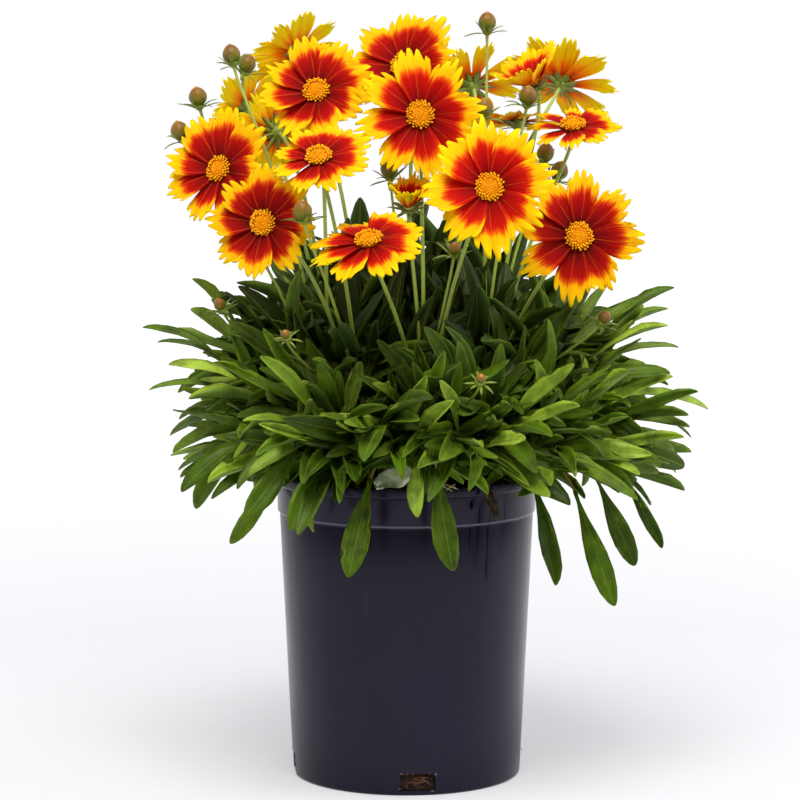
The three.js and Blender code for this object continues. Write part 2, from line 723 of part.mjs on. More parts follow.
// The eight petals and the hub that they share, as one closed skin: the hub's upper and
// lower faces fan out from its middle to the roots of the petals.
function corollaSolid(bloom, draw) {
  const size = bloom.size ?? 1;
  const points = [vector(0, 0, HUB.half), vector(0, 0, -HUB.half)];
  const faces = [];
  const roots = [];
  for (let k = 0; k < PETAL.count; k += 1) {
    const petal = petalPoints(draw, PETAL.length * size, (bloom.cup ?? 4) * DEG);
    const turn = (360 * k / PETAL.count + draw(-2.5, 2.5)) * DEG;
    const first = points.length;
    points.push(...petal.map((point) => point.applyAxisAngle(UP, turn)));
    const spineSize = PETAL.spine.length;
    const edgeCount = petal.length - 2 * spineSize;
    const upper = PETAL.spine.map((_, i) => edgeCount + i);
    const lower = upper.map((i) => i + spineSize);
    const shifted = (face) => face.map((i) => first + i);
    faces.push(...petalFaces(edgeCount, upper).map(shifted));
    faces.push(...petalFaces(edgeCount, lower).map((face) => shifted(face).reverse()));
    const left = first + edgeCount - 1;
    roots.push({ right: first, left, upper: first + upper[0], lower: first + lower[0] });
  }
  roots.forEach(({ right, left, upper, lower }, k) => {
    const next = roots[(k + 1) % roots.length].right;
    faces.push([0, right, upper], [0, upper, left], [0, left, next]);
    faces.push([1, lower, right], [1, left, lower], [1, next, left]);
  });
  return solidFrom(points, faces).rotate([0, 0, draw(0, 45)]);
}

// The disc: a low dome of florets, with a ring of taller ones standing round it.
function discSolid({ size = 1, cup = 0 }) {
  const radius = DISC.radius * (0.7 + 0.3 * size) * Math.cos(cup * DEG);
  const rings = [[1, 0, 0], [0.98, 0.42, 0.3], [0.66, 0.55, 0.4], [0.36, 1, 0.16]];
  const shaped = rings.map(([share, height, bump], ringNumber) => {
    const points = [];
    for (let i = 0; i < DISC.sides; i += 1) {
      const turn = 2 * Math.PI * (i + ringNumber / 2) / DISC.sides;
      const lift = DISC.base + DISC.height * (height + (i % 2 === 0 ? bump : 0)) * 0.85;
      points.push(vector(radius * share * Math.cos(turn), radius * share * Math.sin(turn), lift));
    }
    return points;
  });
  for (const point of shaped[0]) point.z = DISC.base;
  return loft(shaped, undefined, vector(0, 0, DISC.base + DISC.height));
}

// A closed bud: a ball, a little pointed, with its bracts pressed together in flutes.
function budSolid() {
  const rings = [[0.45, 0], [1, 0.4], [0.72, 0.8]];
  const shaped = rings.map(([share, height]) => {
    const radii = [];
    for (let i = 0; i < BUD.sides; i += 1) radii.push(BUD.radius * share * (i % 2 === 0 ? 1 : 0.9));
    return ringAt(vector(0, 0, BUD.height * height), vector(1, 0, 0), vector(0, 1, 0), radii);
  });
  return loft(shaped, undefined, vector(0, 0, BUD.height));
}

// ---- one clump: its crown, shoots, leaves and stalks, grown together ----

function homeOf(point, crowns) {
  const outerCrowns = crowns.filter((crown) => !crown.core);
  return crowns.reduce((best, crown) => (
    depthInside(crown, point, outerCrowns) > depthInside(best, point, outerCrowns) ? crown : best));
}

function clumpSolid(crown, crowns, seed) {
  const draw = drawer(seed);
  const outerCrowns = crowns.filter((other) => !other.core);
  const isOurs = (point) => homeOf(point, crowns) === crown;
  const pieces = [crownSolid(crown)];
  const taken = [];
  for (const head of HEADS.filter(({ base }) => isOurs(base))) {
    const curve = stalkCurve(head, crown, outerCrowns);
    pieces.push(stalkSolid(curve, head));
    taken.push(...curveSpace(curve, STALK.radius));
  }
  const reaching = REACHING_LEAVES.filter(({ tip }) => isOurs(vector(...tip)));
  for (const plan of reaching) {
    const leaf = reachingLeaf(plan, crown, draw);
    pieces.push(reachingLeafSolid(leaf));
    taken.push(...reachingLeafSpace(leaf));
  }
  for (const leaf of moundLeaves(crown, draw)) {
    const fitted = bentClear(leaf, crown, outerCrowns, taken);
    if (fitted) {
      pieces.push(bladeSolid(fitted));
      taken.push(...bladeSpace(fitted));
    }
  }
  return mainBody(joined(pieces));
}

// ---- the whole plant ----

function assemble() {
  const plant = new THREE.Group();
  const crowns = crownList();
  plant.add(meshOf('pot', potSolid(), potPlastic));
  plant.add(meshOf('soil', soilSolid(crowns), pottingMix));
  crowns.forEach((crown, i) => {
    const name = crown.core ? 'clump_middle' : `clump_${i + 1}`;
    plant.add(meshOf(name, clumpSolid(crown, crowns, CLUMP_SEEDS[i]), leafGreen));
  });
  BLOOMS.forEach((bloom, i) => {
    const { base, facing } = HEADS[i];
    const corolla = corollaSolid(bloom, drawer(501 + i));
    plant.add(meshOf(`bloom_${bloom.name}_petals`, ontoHead(corolla, base, facing), petalRed));
    const isOpen = (bloom.cup ?? 0) < 60;
    if (isOpen) {
      const disc = ontoHead(discSolid(bloom), base, facing);
      plant.add(meshOf(`bloom_${bloom.name}_disc`, disc, discGold));
    }
  });
  BUDS.forEach((bud, i) => {
    const { base, facing } = HEADS[BLOOMS.length + i];
    plant.add(meshOf(`bud_${bud.name}`, ontoHead(budSolid(), base, facing), budOlive));
  });
  return plant;
}

export default assemble();
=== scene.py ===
import math
import random
from math import cos, pi, radians, sin

import bpy
from mathutils import Euler, Matrix, Vector, noise


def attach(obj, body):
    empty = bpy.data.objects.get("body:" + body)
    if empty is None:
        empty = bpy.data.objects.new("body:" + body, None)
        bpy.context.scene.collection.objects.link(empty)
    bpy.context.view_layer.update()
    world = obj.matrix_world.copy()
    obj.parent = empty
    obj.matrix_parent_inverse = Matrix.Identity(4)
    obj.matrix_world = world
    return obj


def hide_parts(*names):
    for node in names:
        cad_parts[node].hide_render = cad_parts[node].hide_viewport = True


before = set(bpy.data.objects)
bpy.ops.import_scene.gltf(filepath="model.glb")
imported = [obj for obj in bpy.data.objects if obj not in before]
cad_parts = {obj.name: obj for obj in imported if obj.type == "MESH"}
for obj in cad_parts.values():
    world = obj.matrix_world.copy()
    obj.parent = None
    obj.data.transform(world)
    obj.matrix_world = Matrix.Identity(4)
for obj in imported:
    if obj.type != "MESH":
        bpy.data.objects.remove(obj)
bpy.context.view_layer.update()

MM = 0.001


# ---- The view ----
# The plant stands at eye level across a table: a long lens, two metres off, looking a little
# down on the rim of the pot.
def new_object(name, data):
    """An object of the scene, at its origin."""
    item = bpy.data.objects.new(name, data)
    bpy.context.scene.collection.objects.link(item)
    return item


LOOKING_DOWN = 6.364
camera_data = bpy.data.cameras.new("camera")
camera_data.lens = 141.57
camera_data.sensor_width = 36
camera = new_object("camera", camera_data)
camera.location = (-0.00406, -1.9434, 0.4510)
camera.rotation_euler = (radians(90 - LOOKING_DOWN), 0, 0)
bpy.context.scene.camera = camera


# ---- The studio ----
# A wide sheet of white paper in a white room, which glows more the further it is from the pot,
# so that no edge shows. Soft lights stand over the front, at both sides and behind.
def linear(colour):
    """A screen colour, 0 to 255, as the shaders' linear colour. A node's socket stays as it is."""
    if isinstance(colour, bpy.types.NodeSocket):
        return colour
    channels = []
    for value in colour:
        share = value / 255
        channels.append(share / 12.92 if share <= 0.04045 else ((share + 0.055) / 1.055) ** 2.4)
    return (*channels, 1)


def fill_in(tree, node, inputs):
    """Sets a node's inputs to values, or joins them to other nodes' sockets."""
    for key, value in inputs.items():
        if isinstance(value, bpy.types.NodeSocket):
            tree.links.new(value, node.inputs[key])
        else:
            node.inputs[key].default_value = value


def add_node(tree, kind, inputs=None, **settings):
    node = tree.nodes.new(kind)
    for key, value in settings.items():
        setattr(node, key, value)
    fill_in(tree, node, inputs or {})
    return node


def new_finish(name, roughness):
    """A material with its node tree and its principled shader."""
    material = bpy.data.materials.new(name)
    material.use_nodes = True
    tree = material.node_tree
    shader = tree.nodes["Principled BSDF"]
    shader.inputs["Roughness"].default_value = roughness
    return material, tree, shader


def place_in(tree):
    """Where a point of the surface is, in metres."""
    return add_node(tree, "ShaderNodeTexCoord").outputs["Object"]


def noisy(tree, place, scale, detail):
    """A cloudy value over a place, mostly near 0.5. The larger the scale, the smaller the clouds."""
    return add_node(tree, "ShaderNodeTexNoise", {
        "Vector": place, "Scale": scale, "Detail": detail}).outputs["Fac"]


def worked_out(tree, operation, *values):
    """The result of a sum on one to three values."""
    return add_node(tree, "ShaderNodeMath", dict(enumerate(values)), operation=operation).outputs[0]


def ranged(tree, value, low, high, to_low=0.0, to_high=1.0, **settings):
    """A value with its range from low to high moved to another range."""
    return add_node(tree, "ShaderNodeMapRange", {
        "Value": value, "From Min": low, "From Max": high, "To Min": to_low, "To Max": to_high,
    }, **settings).outputs[0]


def blended(tree, share, first, second, **settings):
    """A share of a second colour over a first."""
    return add_node(tree, "ShaderNodeMix", {
        "Factor": share, "A": linear(first), "B": linear(second)}, data_type="RGBA", **settings).outputs[2]


def grey(tree, value):
    return add_node(tree, "ShaderNodeCombineColor", {"Red": value, "Green": value, "Blue": value}).outputs[0]


def new_ramp(tree, factor, stops):
    """A colour ramp over a factor, from pairs of place and screen colour."""
    node = add_node(tree, "ShaderNodeValToRGB", {"Fac": factor})
    ramp = node.color_ramp
    while len(ramp.elements) < len(stops):
        ramp.elements.new(0.5)
    for element, (place, colour) in zip(ramp.elements, stops):
        element.position = place
        element.color = linear(colour)
    return node.outputs["Color"]


def seen_by_camera(tree):
    return add_node(tree, "ShaderNodeLightPath").outputs["Is Camera Ray"]


def smooth_mesh(name, points, faces):
    """A mesh from points in metres and faces, shaded smooth."""
    mesh = bpy.data.meshes.new(name)
    mesh.from_pydata(points, [], faces, shade_flat=False)
    return mesh


# The sheet's radius, and its glow: dim as far out as dim_to, bright from bright_from on.
PAPER = {"radius": 7.0, "sides": 96, "dim": 0.38, "bright": 1.0, "dim_to": 0.55, "bright_from": 2.9}

# The camera sees a light grey sheet; the light that it throws back is a white sheet's.
paper, tree, shader = new_finish("studio paper", 0.9)
place = place_in(tree)
fibre = noisy(tree, place, scale=40.0, detail=3.0)
seen = seen_by_camera(tree)
thrown = new_ramp(tree, fibre, [(0.3, (236, 236, 240)), (0.7, (241, 241, 244))])
shown = new_ramp(tree, fibre, [(0.3, (179, 179, 183)), (0.7, (180, 180, 184))])
away = add_node(tree, "ShaderNodeVectorMath", {0: place}, operation="LENGTH").outputs["Value"]
glow = ranged(tree, away, PAPER["dim_to"], PAPER["bright_from"], PAPER["dim"], PAPER["bright"])
fill_in(tree, shader, {
    "Base Color": blended(tree, seen, thrown, shown), "Specular IOR Level": 0.1,
    "Emission Color": grey(tree, worked_out(tree, "MULTIPLY", glow, seen)), "Emission Strength": 1.0})

corners = [(0, 0, 0)]
for step in range(PAPER["sides"]):
    turn = 2 * pi * step / PAPER["sides"]
    corners.append((PAPER["radius"] * cos(turn), PAPER["radius"] * sin(turn), 0))
faces = [(0, 1 + step, 1 + (step + 1) % PAPER["sides"]) for step in range(PAPER["sides"])]
sheet = smooth_mesh("studio floor", corners, faces)
sheet.materials.append(paper)
floor = new_object("studio_floor", sheet)

LAMPS = [
    # name, place, size, power, colour
    ("over", (0.0, -1.25, 2.3), 1.5, 72, (1.0, 0.985, 0.96)),
    ("left", (-1.7, -0.2, 0.9), 1.1, 5.5, (0.90, 0.90, 1.0)),
    ("right", (1.7, -0.1, 0.9), 1.3, 13, (0.88, 0.88, 1.0)),
    ("behind left", (-1.45, 1.35, 0.85), 1.6, 8, (0.96, 0.96, 1.0)),
    ("behind right", (1.45, 1.35, 0.85), 1.6, 10, (0.96, 0.96, 1.0)),
    ("behind", (0.2, 1.6, 2.1), 1.2, 7, (1.0, 1.0, 1.0)),
]
LIT = Vector((0, 0, 0.25))  # the lamps all point here
for name, spot, size, power, colour in LAMPS:
    lamp = bpy.data.lights.new(name, "AREA")
    lamp.size = size
    lamp.energy = power
    lamp.color = colour
    holder = new_object(name, lamp)
    holder.location = spot
    holder.rotation_euler = (LIT - Vector(spot)).to_track_quat("-Z", "Y").to_euler()

AIR = {"lights": 0.18, "shows": 1.0}  # how bright the room is for the plant, and to the camera
world = bpy.data.worlds.new("studio air")
world.use_nodes = True
tree = world.node_tree
fill_in(tree, tree.nodes["Background"], {
    "Color": (1, 1, 1, 1), "Strength": ranged(tree, seen_by_camera(tree), 0, 1, AIR["lights"], AIR["shows"])})
bpy.context.scene.world = world
bpy.context.scene.view_settings.view_transform = "Standard"


# ---- The pot ----
# A trade gallon pot, blow-moulded in blue-black plastic: plain tapered wall, a band under a
# rolled lip, and four drainage notches cut through the edge of its foot.
POT = {  # outside radii, heights and thicknesses in millimetres
    "height": 190, "lip": 82.5, "lip_height": 6, "band": 80.3, "band_bottom": 166, "body": 79, "foot": 71.1,
    "foot_round": 2.2, "foot_ring": 7.5, "hollow": 0.4, "band_round": 0.8, "lip_round": 1.3, "bead": 1.0,
    "groove": 0.35, "wall": 1.4, "floor": 3, "sides": 160,
}
NOTCH = {"heading": -84.5, "width": 21.5, "height": 14, "inward": 5, "outward": 20}
CREASE = 35  # degrees: an edge turned by more stays sharp


def body_radius(z):
    """The outside of the plain wall at a height."""
    return POT["foot"] + (POT["body"] - POT["foot"]) * z / POT["band_bottom"]


def skin_faces(rings, sides):
    """The faces of a closed skin: a first point, a number of rings, and a last point."""
    last = 1 + rings * sides
    faces = []
    for i in range(sides):
        after = (i + 1) % sides
        faces.append((0, 1 + after, 1 + i))
        for low in range(1, last - sides, sides):
            high = low + sides
            faces.append((low + i, low + after, high + after, high + i))
        faces.append((last - sides + i, last - sides + after, last))
    return faces


def turned(name, profile, sides):
    """A closed skin of revolution from radius and height pairs in millimetres, axis to axis."""
    rings = profile[1:-1]
    points = [(0, 0, profile[0][1] * MM)]
    for radius, z in rings:
        for i in range(sides):
            turn = 2 * pi * i / sides
            points.append((radius * cos(turn) * MM, radius * sin(turn) * MM, z * MM))
    points.append((0, 0, profile[-1][1] * MM))
    return smooth_mesh(name, points, skin_faces(len(rings), sides))


def plain_mesh(piece):
    """What a piece's live modifiers make of it, as a mesh."""
    return bpy.data.meshes.new_from_object(piece.evaluated_get(bpy.context.evaluated_depsgraph_get()))


def rounded(middle_r, middle_z, radius, start, end):
    """Points of a rounded edge: its centre, radius, and its first and last angle in degrees."""
    points = []
    for step in range(5):
        turn = radians(start + (end - start) * step / 4)
        points.append((middle_r + radius * cos(turn), middle_z + radius * sin(turn)))
    return points


foot_round, band_round, lip_round = POT["foot_round"], POT["band_round"], POT["lip_round"]
band_bottom = POT["band_bottom"]
lip_bottom = POT["height"] - POT["lip_height"]
inner = POT["band"] - POT["wall"]
pot_profile = [
    # The underside, hollow inside the ring that it stands on, and the foot's edge.
    (0, POT["hollow"]), (POT["foot"] - POT["foot_ring"] - 1.5, POT["hollow"]),
    (POT["foot"] - POT["foot_ring"], 0),
    *rounded(POT["foot"] - foot_round, foot_round, foot_round, -90, -3),
    # The plain wall, and the groove under the band.
    *[(body_radius(z), z) for z in (40, 80, 120, band_bottom - 2)],
    (body_radius(band_bottom) - POT["groove"], band_bottom - 0.9),
    # The band and the rolled lip.
    *rounded(POT["band"] - band_round, band_bottom + band_round, band_round, -90, 0),
    (POT["band"], lip_bottom - 1.4),
    *rounded(POT["lip"] - POT["bead"], lip_bottom + 0.8, POT["bead"], -80, 0),
    *rounded(POT["lip"] - lip_round, POT["height"] - lip_round, lip_round, 0, 100),
    (inner + 0.5, POT["height"] - 0.9), (inner, POT["height"] - 2.4),
    # Down the inside to the floor.
    (inner, band_bottom), (body_radius(90) - POT["wall"], 90),
    (body_radius(POT["floor"]) - POT["wall"], POT["floor"]), (0, POT["floor"]),
]
pot = new_object("nursery_pot", turned("nursery pot", pot_profile, POT["sides"]))

# Each notch takes the wall away down to the floor, and below that only the floor's edge.
ledge = POT["floor"] - 0.03
below = -5  # under the pot, so that the cut goes through
notch_side = [
    (POT["foot"] - POT["wall"], below), (POT["foot"] + NOTCH["outward"], below),
    (POT["foot"] + NOTCH["outward"], NOTCH["height"]), (POT["foot"] - NOTCH["inward"], NOTCH["height"]),
    (POT["foot"] - NOTCH["inward"], ledge), (POT["foot"] - POT["wall"], ledge),
]
count = len(notch_side)
block_faces = [tuple(range(count)), tuple(reversed(range(count, 2 * count)))]
for i in range(count):
    after = (i + 1) % count
    block_faces.append((i, count + i, count + after, after))
for i in range(4):
    turn = Matrix.Rotation(radians(NOTCH["heading"] + 90 * i), 3, "Z")
    block = [
        turn @ Vector((out, across, z)) * MM
        for across in (-NOTCH["width"] / 2, NOTCH["width"] / 2) for out, z in notch_side
    ]
    mesh = bpy.data.meshes.new("notch")
    mesh.from_pydata(block, [], block_faces)
    cutter = new_object("notch", mesh)
    cut = pot.modifiers.new("notch", "BOOLEAN")
    cut.operation = "DIFFERENCE"
    cut.solver = "EXACT"
    cut.object = cutter
    cut_pot = plain_mesh(pot)
    pot.modifiers.clear()
    pot.data = cut_pot
    bpy.data.objects.remove(cutter)
pot.data.set_sharp_from_angle(angle=radians(CREASE))

# Soft patches of a second colour over a first, and how strong they are at each place: a node
# group that most finishes share.
mottle = bpy.data.node_groups.new("soft patches", "ShaderNodeTree")
for label in ("Place", "Scale", "From", "To", "First", "Second"):
    kind = {"Place": "Vector", "First": "Color", "Second": "Color"}.get(label, "Float")
    mottle.interface.new_socket(label, in_out="INPUT", socket_type="NodeSocket" + kind)
for label, kind in (("Color", "Color"), ("Share", "Float")):
    mottle.interface.new_socket(label, in_out="OUTPUT", socket_type="NodeSocket" + kind)
source = mottle.nodes.new("NodeGroupInput").outputs
cloud = add_node(mottle, "ShaderNodeTexNoise", {
    "Vector": source["Place"], "Scale": source["Scale"], "Detail": 4.0, "Roughness": 0.6})
share = ranged(mottle, cloud.outputs["Fac"], source["From"], source["To"])
add_node(mottle, "NodeGroupOutput", {
    "Color": blended(mottle, share, source["First"], source["Second"]), "Share": share})


def patches(tree, place, scale, low, high, first, second):
    """The soft patches in a material: the sockets Color and Share. They start where the noise
    passes low and are full where it passes high."""
    return add_node(tree, "ShaderNodeGroup", {
        "Place": place, "Scale": scale, "From": low, "To": high,
        "First": linear(first), "Second": linear(second),
    }, node_tree=mottle).outputs


def stretched(tree, place, scale):
    """A place scaled along its axes, which draws a pattern out along the axes with the least."""
    return add_node(tree, "ShaderNodeMapping", {"Vector": place, "Scale": scale}).outputs["Vector"]


def relief(tree, strength, distance, height, **settings):
    """The normal of a fine relief whose height changes over the surface."""
    return add_node(tree, "ShaderNodeBump", {
        "Strength": strength, "Distance": distance, "Height": height}, **settings).outputs["Normal"]


plastic, tree, shader = new_finish("blue-black plastic", 0.3)
place = place_in(tree)
level = add_node(tree, "ShaderNodeSeparateXYZ", {"Vector": place}).outputs["Z"]
# The plastic itself, a little uneven, with upright streaks.
drawn = stretched(tree, place, (1, 1, 0.16))
ground = patches(tree, place, 22.0, 0.3, 0.75, (17, 15, 29), (23, 20, 36))
streaked = patches(tree, drawn, 90.0, 0.66, 0.78, ground["Color"], (32, 30, 46))["Color"]
# Water has run down from the lip, further at some headings than at others.
flat = add_node(tree, "ShaderNodeVectorMath", {0: place, 1: (1, 1, 0)}, operation="MULTIPLY")
compass = add_node(tree, "ShaderNodeVectorMath", {0: flat.outputs["Vector"]}, operation="NORMALIZE")
around = noisy(tree, compass.outputs["Vector"], scale=20.0, detail=2.0)
down_to = worked_out(tree, "MULTIPLY_ADD", level, 1.2, around)
wet = ranged(tree, down_to, 0.812, 0.828)
wetted = blended(tree, wet, streaked, (6, 5, 12))
# Pale scuffs, and a painted highlight: a pale line along the lower edge of the band, standing in for the
# light that the edge catches.
scuffed = patches(tree, place, 330.0, 0.72, 0.80, wetted, (54, 52, 64))
off_edge = worked_out(tree, "SUBTRACT", level, POT["band_bottom"] * MM + 0.0002)
# Painted highlight: pale colour that peaks right at the band's lower edge.
band_edge_painted_highlight = ranged(tree, worked_out(tree, "ABSOLUTE", off_edge), 0.0003, 0.0009, 0.5, 0.0)
gloss = worked_out(tree, "MULTIPLY_ADD", ground["Share"], 0.10, 0.19)
worn = worked_out(tree, "MULTIPLY_ADD", scuffed["Share"], 0.25, gloss)
ripple = noisy(tree, drawn, scale=34.0, detail=2.0)
fill_in(tree, shader, {
    "Base Color": blended(tree, band_edge_painted_highlight, scuffed["Color"], (118, 116, 132)),
    "Roughness": worked_out(tree, "MULTIPLY_ADD", wet, -0.14, worn),
    "Normal": relief(tree, 0.18, 0.002, ripple),
    "Specular IOR Level": 0.24, "Specular Tint": (0.86, 0.83, 1.0, 1)})
pot.data.materials.clear()
pot.data.materials.append(plastic)
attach(pot, "root")
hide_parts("pot")


# ---- The potting mix ----
# Moist peat and fine bark that fills the pot to just under its lip, with loose crumbs of bark
# on top. It shows dark between the stems and brown behind the drainage notches.
SOIL = {"edge": 176, "middle": 181, "lump": 1.6, "grain": 0.16, "rings": 22, "sides": 96, "gap": 0.35}


def soil_height(radius, rim):
    return SOIL["middle"] + (SOIL["edge"] - SOIL["middle"]) * (radius / rim) ** 2


bottom = POT["floor"] + SOIL["gap"]
rim = body_radius(POT["band_bottom"]) - POT["wall"] - SOIL["gap"]
soil_profile = [(0, bottom)]
for z in (bottom, 8, 15, 30, 90, POT["band_bottom"]):
    soil_profile.append((body_radius(z) - POT["wall"] - SOIL["gap"], z))
for i in range(SOIL["rings"], 0, -1):
    radius = (rim - 0.6) * i / SOIL["rings"]
    soil_profile.append((radius, soil_height(radius, rim)))
soil_profile.append((0, SOIL["middle"]))
soil_mesh = turned("potting mix", soil_profile, SOIL["sides"])
for vertex in soil_mesh.vertices:
    where = vertex.co / MM
    lump = noise.fractal(where * SOIL["grain"], 1.0, 2.0, 3)
    if where.z > POT["band_bottom"] + 2:
        vertex.co.z += SOIL["lump"] * lump * MM
    elif bottom + 0.5 < where.z < 20:
        # Behind the notches the mix has sunk in a little.
        inward = Vector((where.x, where.y, 0)).normalized()
        vertex.co -= inward * (1.0 + SOIL["lump"] * abs(lump)) * MM
soil = new_object("potting_mix", soil_mesh)

earth, tree, shader = new_finish("moist mix", 0.92)
place = place_in(tree)
dark = patches(tree, place, 300.0, 0.42, 0.62, (20, 14, 11), (60, 40, 27))["Color"]
fill_in(tree, shader, {
    "Base Color": patches(tree, place, 700.0, 0.62, 0.72, dark, (128, 98, 66))["Color"],
    "Normal": relief(tree, 0.9, 0.0012, noisy(tree, place, scale=420.0, detail=6.0)),
    "Specular IOR Level": 0.25})
soil.data.materials.append(earth)
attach(soil, "root")
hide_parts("soil")


def shape_mesh(points, faces, spots=None, under=None):
    """A small mesh to be set out many times. Each point may carry a place on the surface, and
    each face may be marked as an underside."""
    mesh = smooth_mesh("shape", points, faces)
    layer = mesh.uv_layers.new(name="surface")
    if spots:
        for loop in mesh.loops:
            layer.data[loop.index].uv = spots[loop.vertex_index]
    marks = mesh.attributes.new("under", "BOOLEAN", "FACE")
    for i, marked in enumerate(under or [False] * len(faces)):
        marks.data[i].value = marked
    return mesh


def new_growth(name, given, size, made):
    """A geometry node tree with its inputs' sockets and the identifier of its size input."""
    tree = bpy.data.node_groups.new(name, "GeometryNodeTree")
    tree.interface.new_socket(given, in_out="INPUT", socket_type="NodeSocketGeometry")
    size_input = tree.interface.new_socket(size, in_out="INPUT", socket_type="NodeSocketFloat")
    tree.interface.new_socket(made, in_out="OUTPUT", socket_type="NodeSocketGeometry")
    return tree, tree.nodes.new("NodeGroupInput").outputs, size_input.identifier


def grow(holder, tree, geometry, size_input, size):
    """Gives a tree its result and an object the tree, and returns what grows from it."""
    add_node(tree, "NodeGroupOutput", {0: geometry})
    grower = holder.modifiers.new(tree.name, "NODES")
    grower.node_group = tree
    grower[size_input] = size
    mesh = plain_mesh(holder)
    bpy.data.objects.remove(holder)
    return mesh


def set_out(name, spots, shapes, upper, under=None, scale=1.0):
    """One piece with a shape at each spot. A spot is its place, its turn as a matrix, its size
    along the shape's own axes, its tone from 0 to 1, and the number of its shape."""
    cloud = bpy.data.meshes.new(name)
    cloud.from_pydata([spot[0] for spot in spots], [], [])
    kinds = {"turn": "FLOAT_VECTOR", "size": "FLOAT_VECTOR", "pick": "INT"}
    for label, kind in (*kinds.items(), ("tone", "FLOAT")):
        cloud.attributes.new(label, kind, "POINT")
    for i, (_, turn, size, tone, pick) in enumerate(spots):
        cloud.attributes["turn"].data[i].vector = tuple(Matrix(turn).to_3x3().to_euler())
        cloud.attributes["size"].data[i].vector = size
        cloud.attributes["tone"].data[i].value = tone
        cloud.attributes["pick"].data[i].value = pick
    holder = new_object(name + " spots", cloud)
    shelf = bpy.data.collections.new(name + " shapes")
    kept = [bpy.data.objects.new(f"shape {i:02d}", shape) for i, shape in enumerate(shapes)]
    for item in kept:
        shelf.objects.link(item)

    tree, source, size_input = new_growth(name, "Spots", "Scale", "Plant")
    kinds["under"] = "BOOLEAN"
    own = {}
    for label, kind in kinds.items():
        node = add_node(tree, "GeometryNodeInputNamedAttribute", {"Name": label}, data_type=kind)
        own[label] = node.outputs["Attribute"]
    info = add_node(tree, "GeometryNodeCollectionInfo", {
        "Collection": shelf, "Separate Children": True, "Reset Children": True})
    turn = add_node(tree, "FunctionNodeEulerToRotation", {"Euler": own["turn"]})
    size = add_node(tree, "ShaderNodeVectorMath", {
        0: own["size"], "Scale": source["Scale"]}, operation="SCALE")
    placed = add_node(tree, "GeometryNodeInstanceOnPoints", {
        "Points": source["Spots"], "Instance": info.outputs["Instances"], "Pick Instance": True,
        "Instance Index": own["pick"], "Rotation": turn.outputs["Rotation"], "Scale": size.outputs["Vector"]})
    solid = add_node(tree, "GeometryNodeRealizeInstances", {"Geometry": placed.outputs["Instances"]})
    painted = add_node(tree, "GeometryNodeSetMaterial", {"Geometry": solid.outputs[0], "Material": upper})
    if under:
        painted = add_node(tree, "GeometryNodeSetMaterial", {
            "Geometry": painted.outputs[0], "Selection": own["under"], "Material": under})
    mesh = grow(holder, tree, painted.outputs[0], size_input, scale)
    for item in kept:
        bpy.data.objects.remove(item)
    bpy.data.collections.remove(shelf)
    for label in kinds:
        if label in mesh.attributes:
            mesh.attributes.remove(mesh.attributes[label])
    return new_object(name, mesh)


CRUMBS = {
    "count": 260, "shortest": 1.2, "longest": 3.4, "wide": 0.7, "thick": 0.6, "tilt": 0.5, "off_edge": 4,
    "proud": 0.5,
}
chance = random.Random(11)
chip_points = [
    (-1, -0.6, 0), (1, -0.5, 0.1), (0.8, 0.6, 0), (-0.9, 0.5, -0.1),
    (-0.5, -0.3, 0.5), (0.5, -0.2, 0.6), (0.4, 0.3, 0.5), (-0.6, 0.3, 0.45),
]
chip_faces = [(3, 2, 1, 0), (4, 5, 6, 7), (0, 1, 5, 4), (1, 2, 6, 5), (2, 3, 7, 6), (3, 0, 4, 7)]
chip_spots = []
for _ in range(CRUMBS["count"]):
    radius = (rim - CRUMBS["off_edge"]) * math.sqrt(chance.random())
    heading = chance.uniform(0, 2 * pi)
    at = Vector((radius * cos(heading), radius * sin(heading), soil_height(radius, rim) + CRUMBS["proud"]))
    tilts = [chance.uniform(-CRUMBS["tilt"], CRUMBS["tilt"]) for _ in range(2)]
    turn = Euler([*tilts, chance.uniform(0, 6)]).to_matrix()
    long = chance.uniform(CRUMBS["shortest"], CRUMBS["longest"]) * MM
    size = (long, long * CRUMBS["wide"], long * CRUMBS["thick"])
    chip_spots.append((at * MM, turn, size, chance.random(), 0))


def tone_in(tree):
    """The tone that a leaf, petal, floret or crumb has of its own; a leaf's is also darkened or lightened as
    painted shade and light.
    """
    return add_node(tree, "ShaderNodeAttribute", attribute_name="tone").outputs["Fac"]


bark, tree, shader = new_finish("bark crumbs", 0.85)
brown = new_ramp(tree, tone_in(tree), [(0.0, (44, 30, 22)), (0.7, (92, 62, 40)), (1.0, (150, 118, 84))])
grained = patches(tree, place_in(tree), 500.0, 0.4, 0.6, brown, (40, 28, 20))
fill_in(tree, shader, {"Base Color": grained["Color"]})
chips = set_out("bark_crumbs", chip_spots, [shape_mesh(chip_points, chip_faces)], bark)
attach(chips, "root")


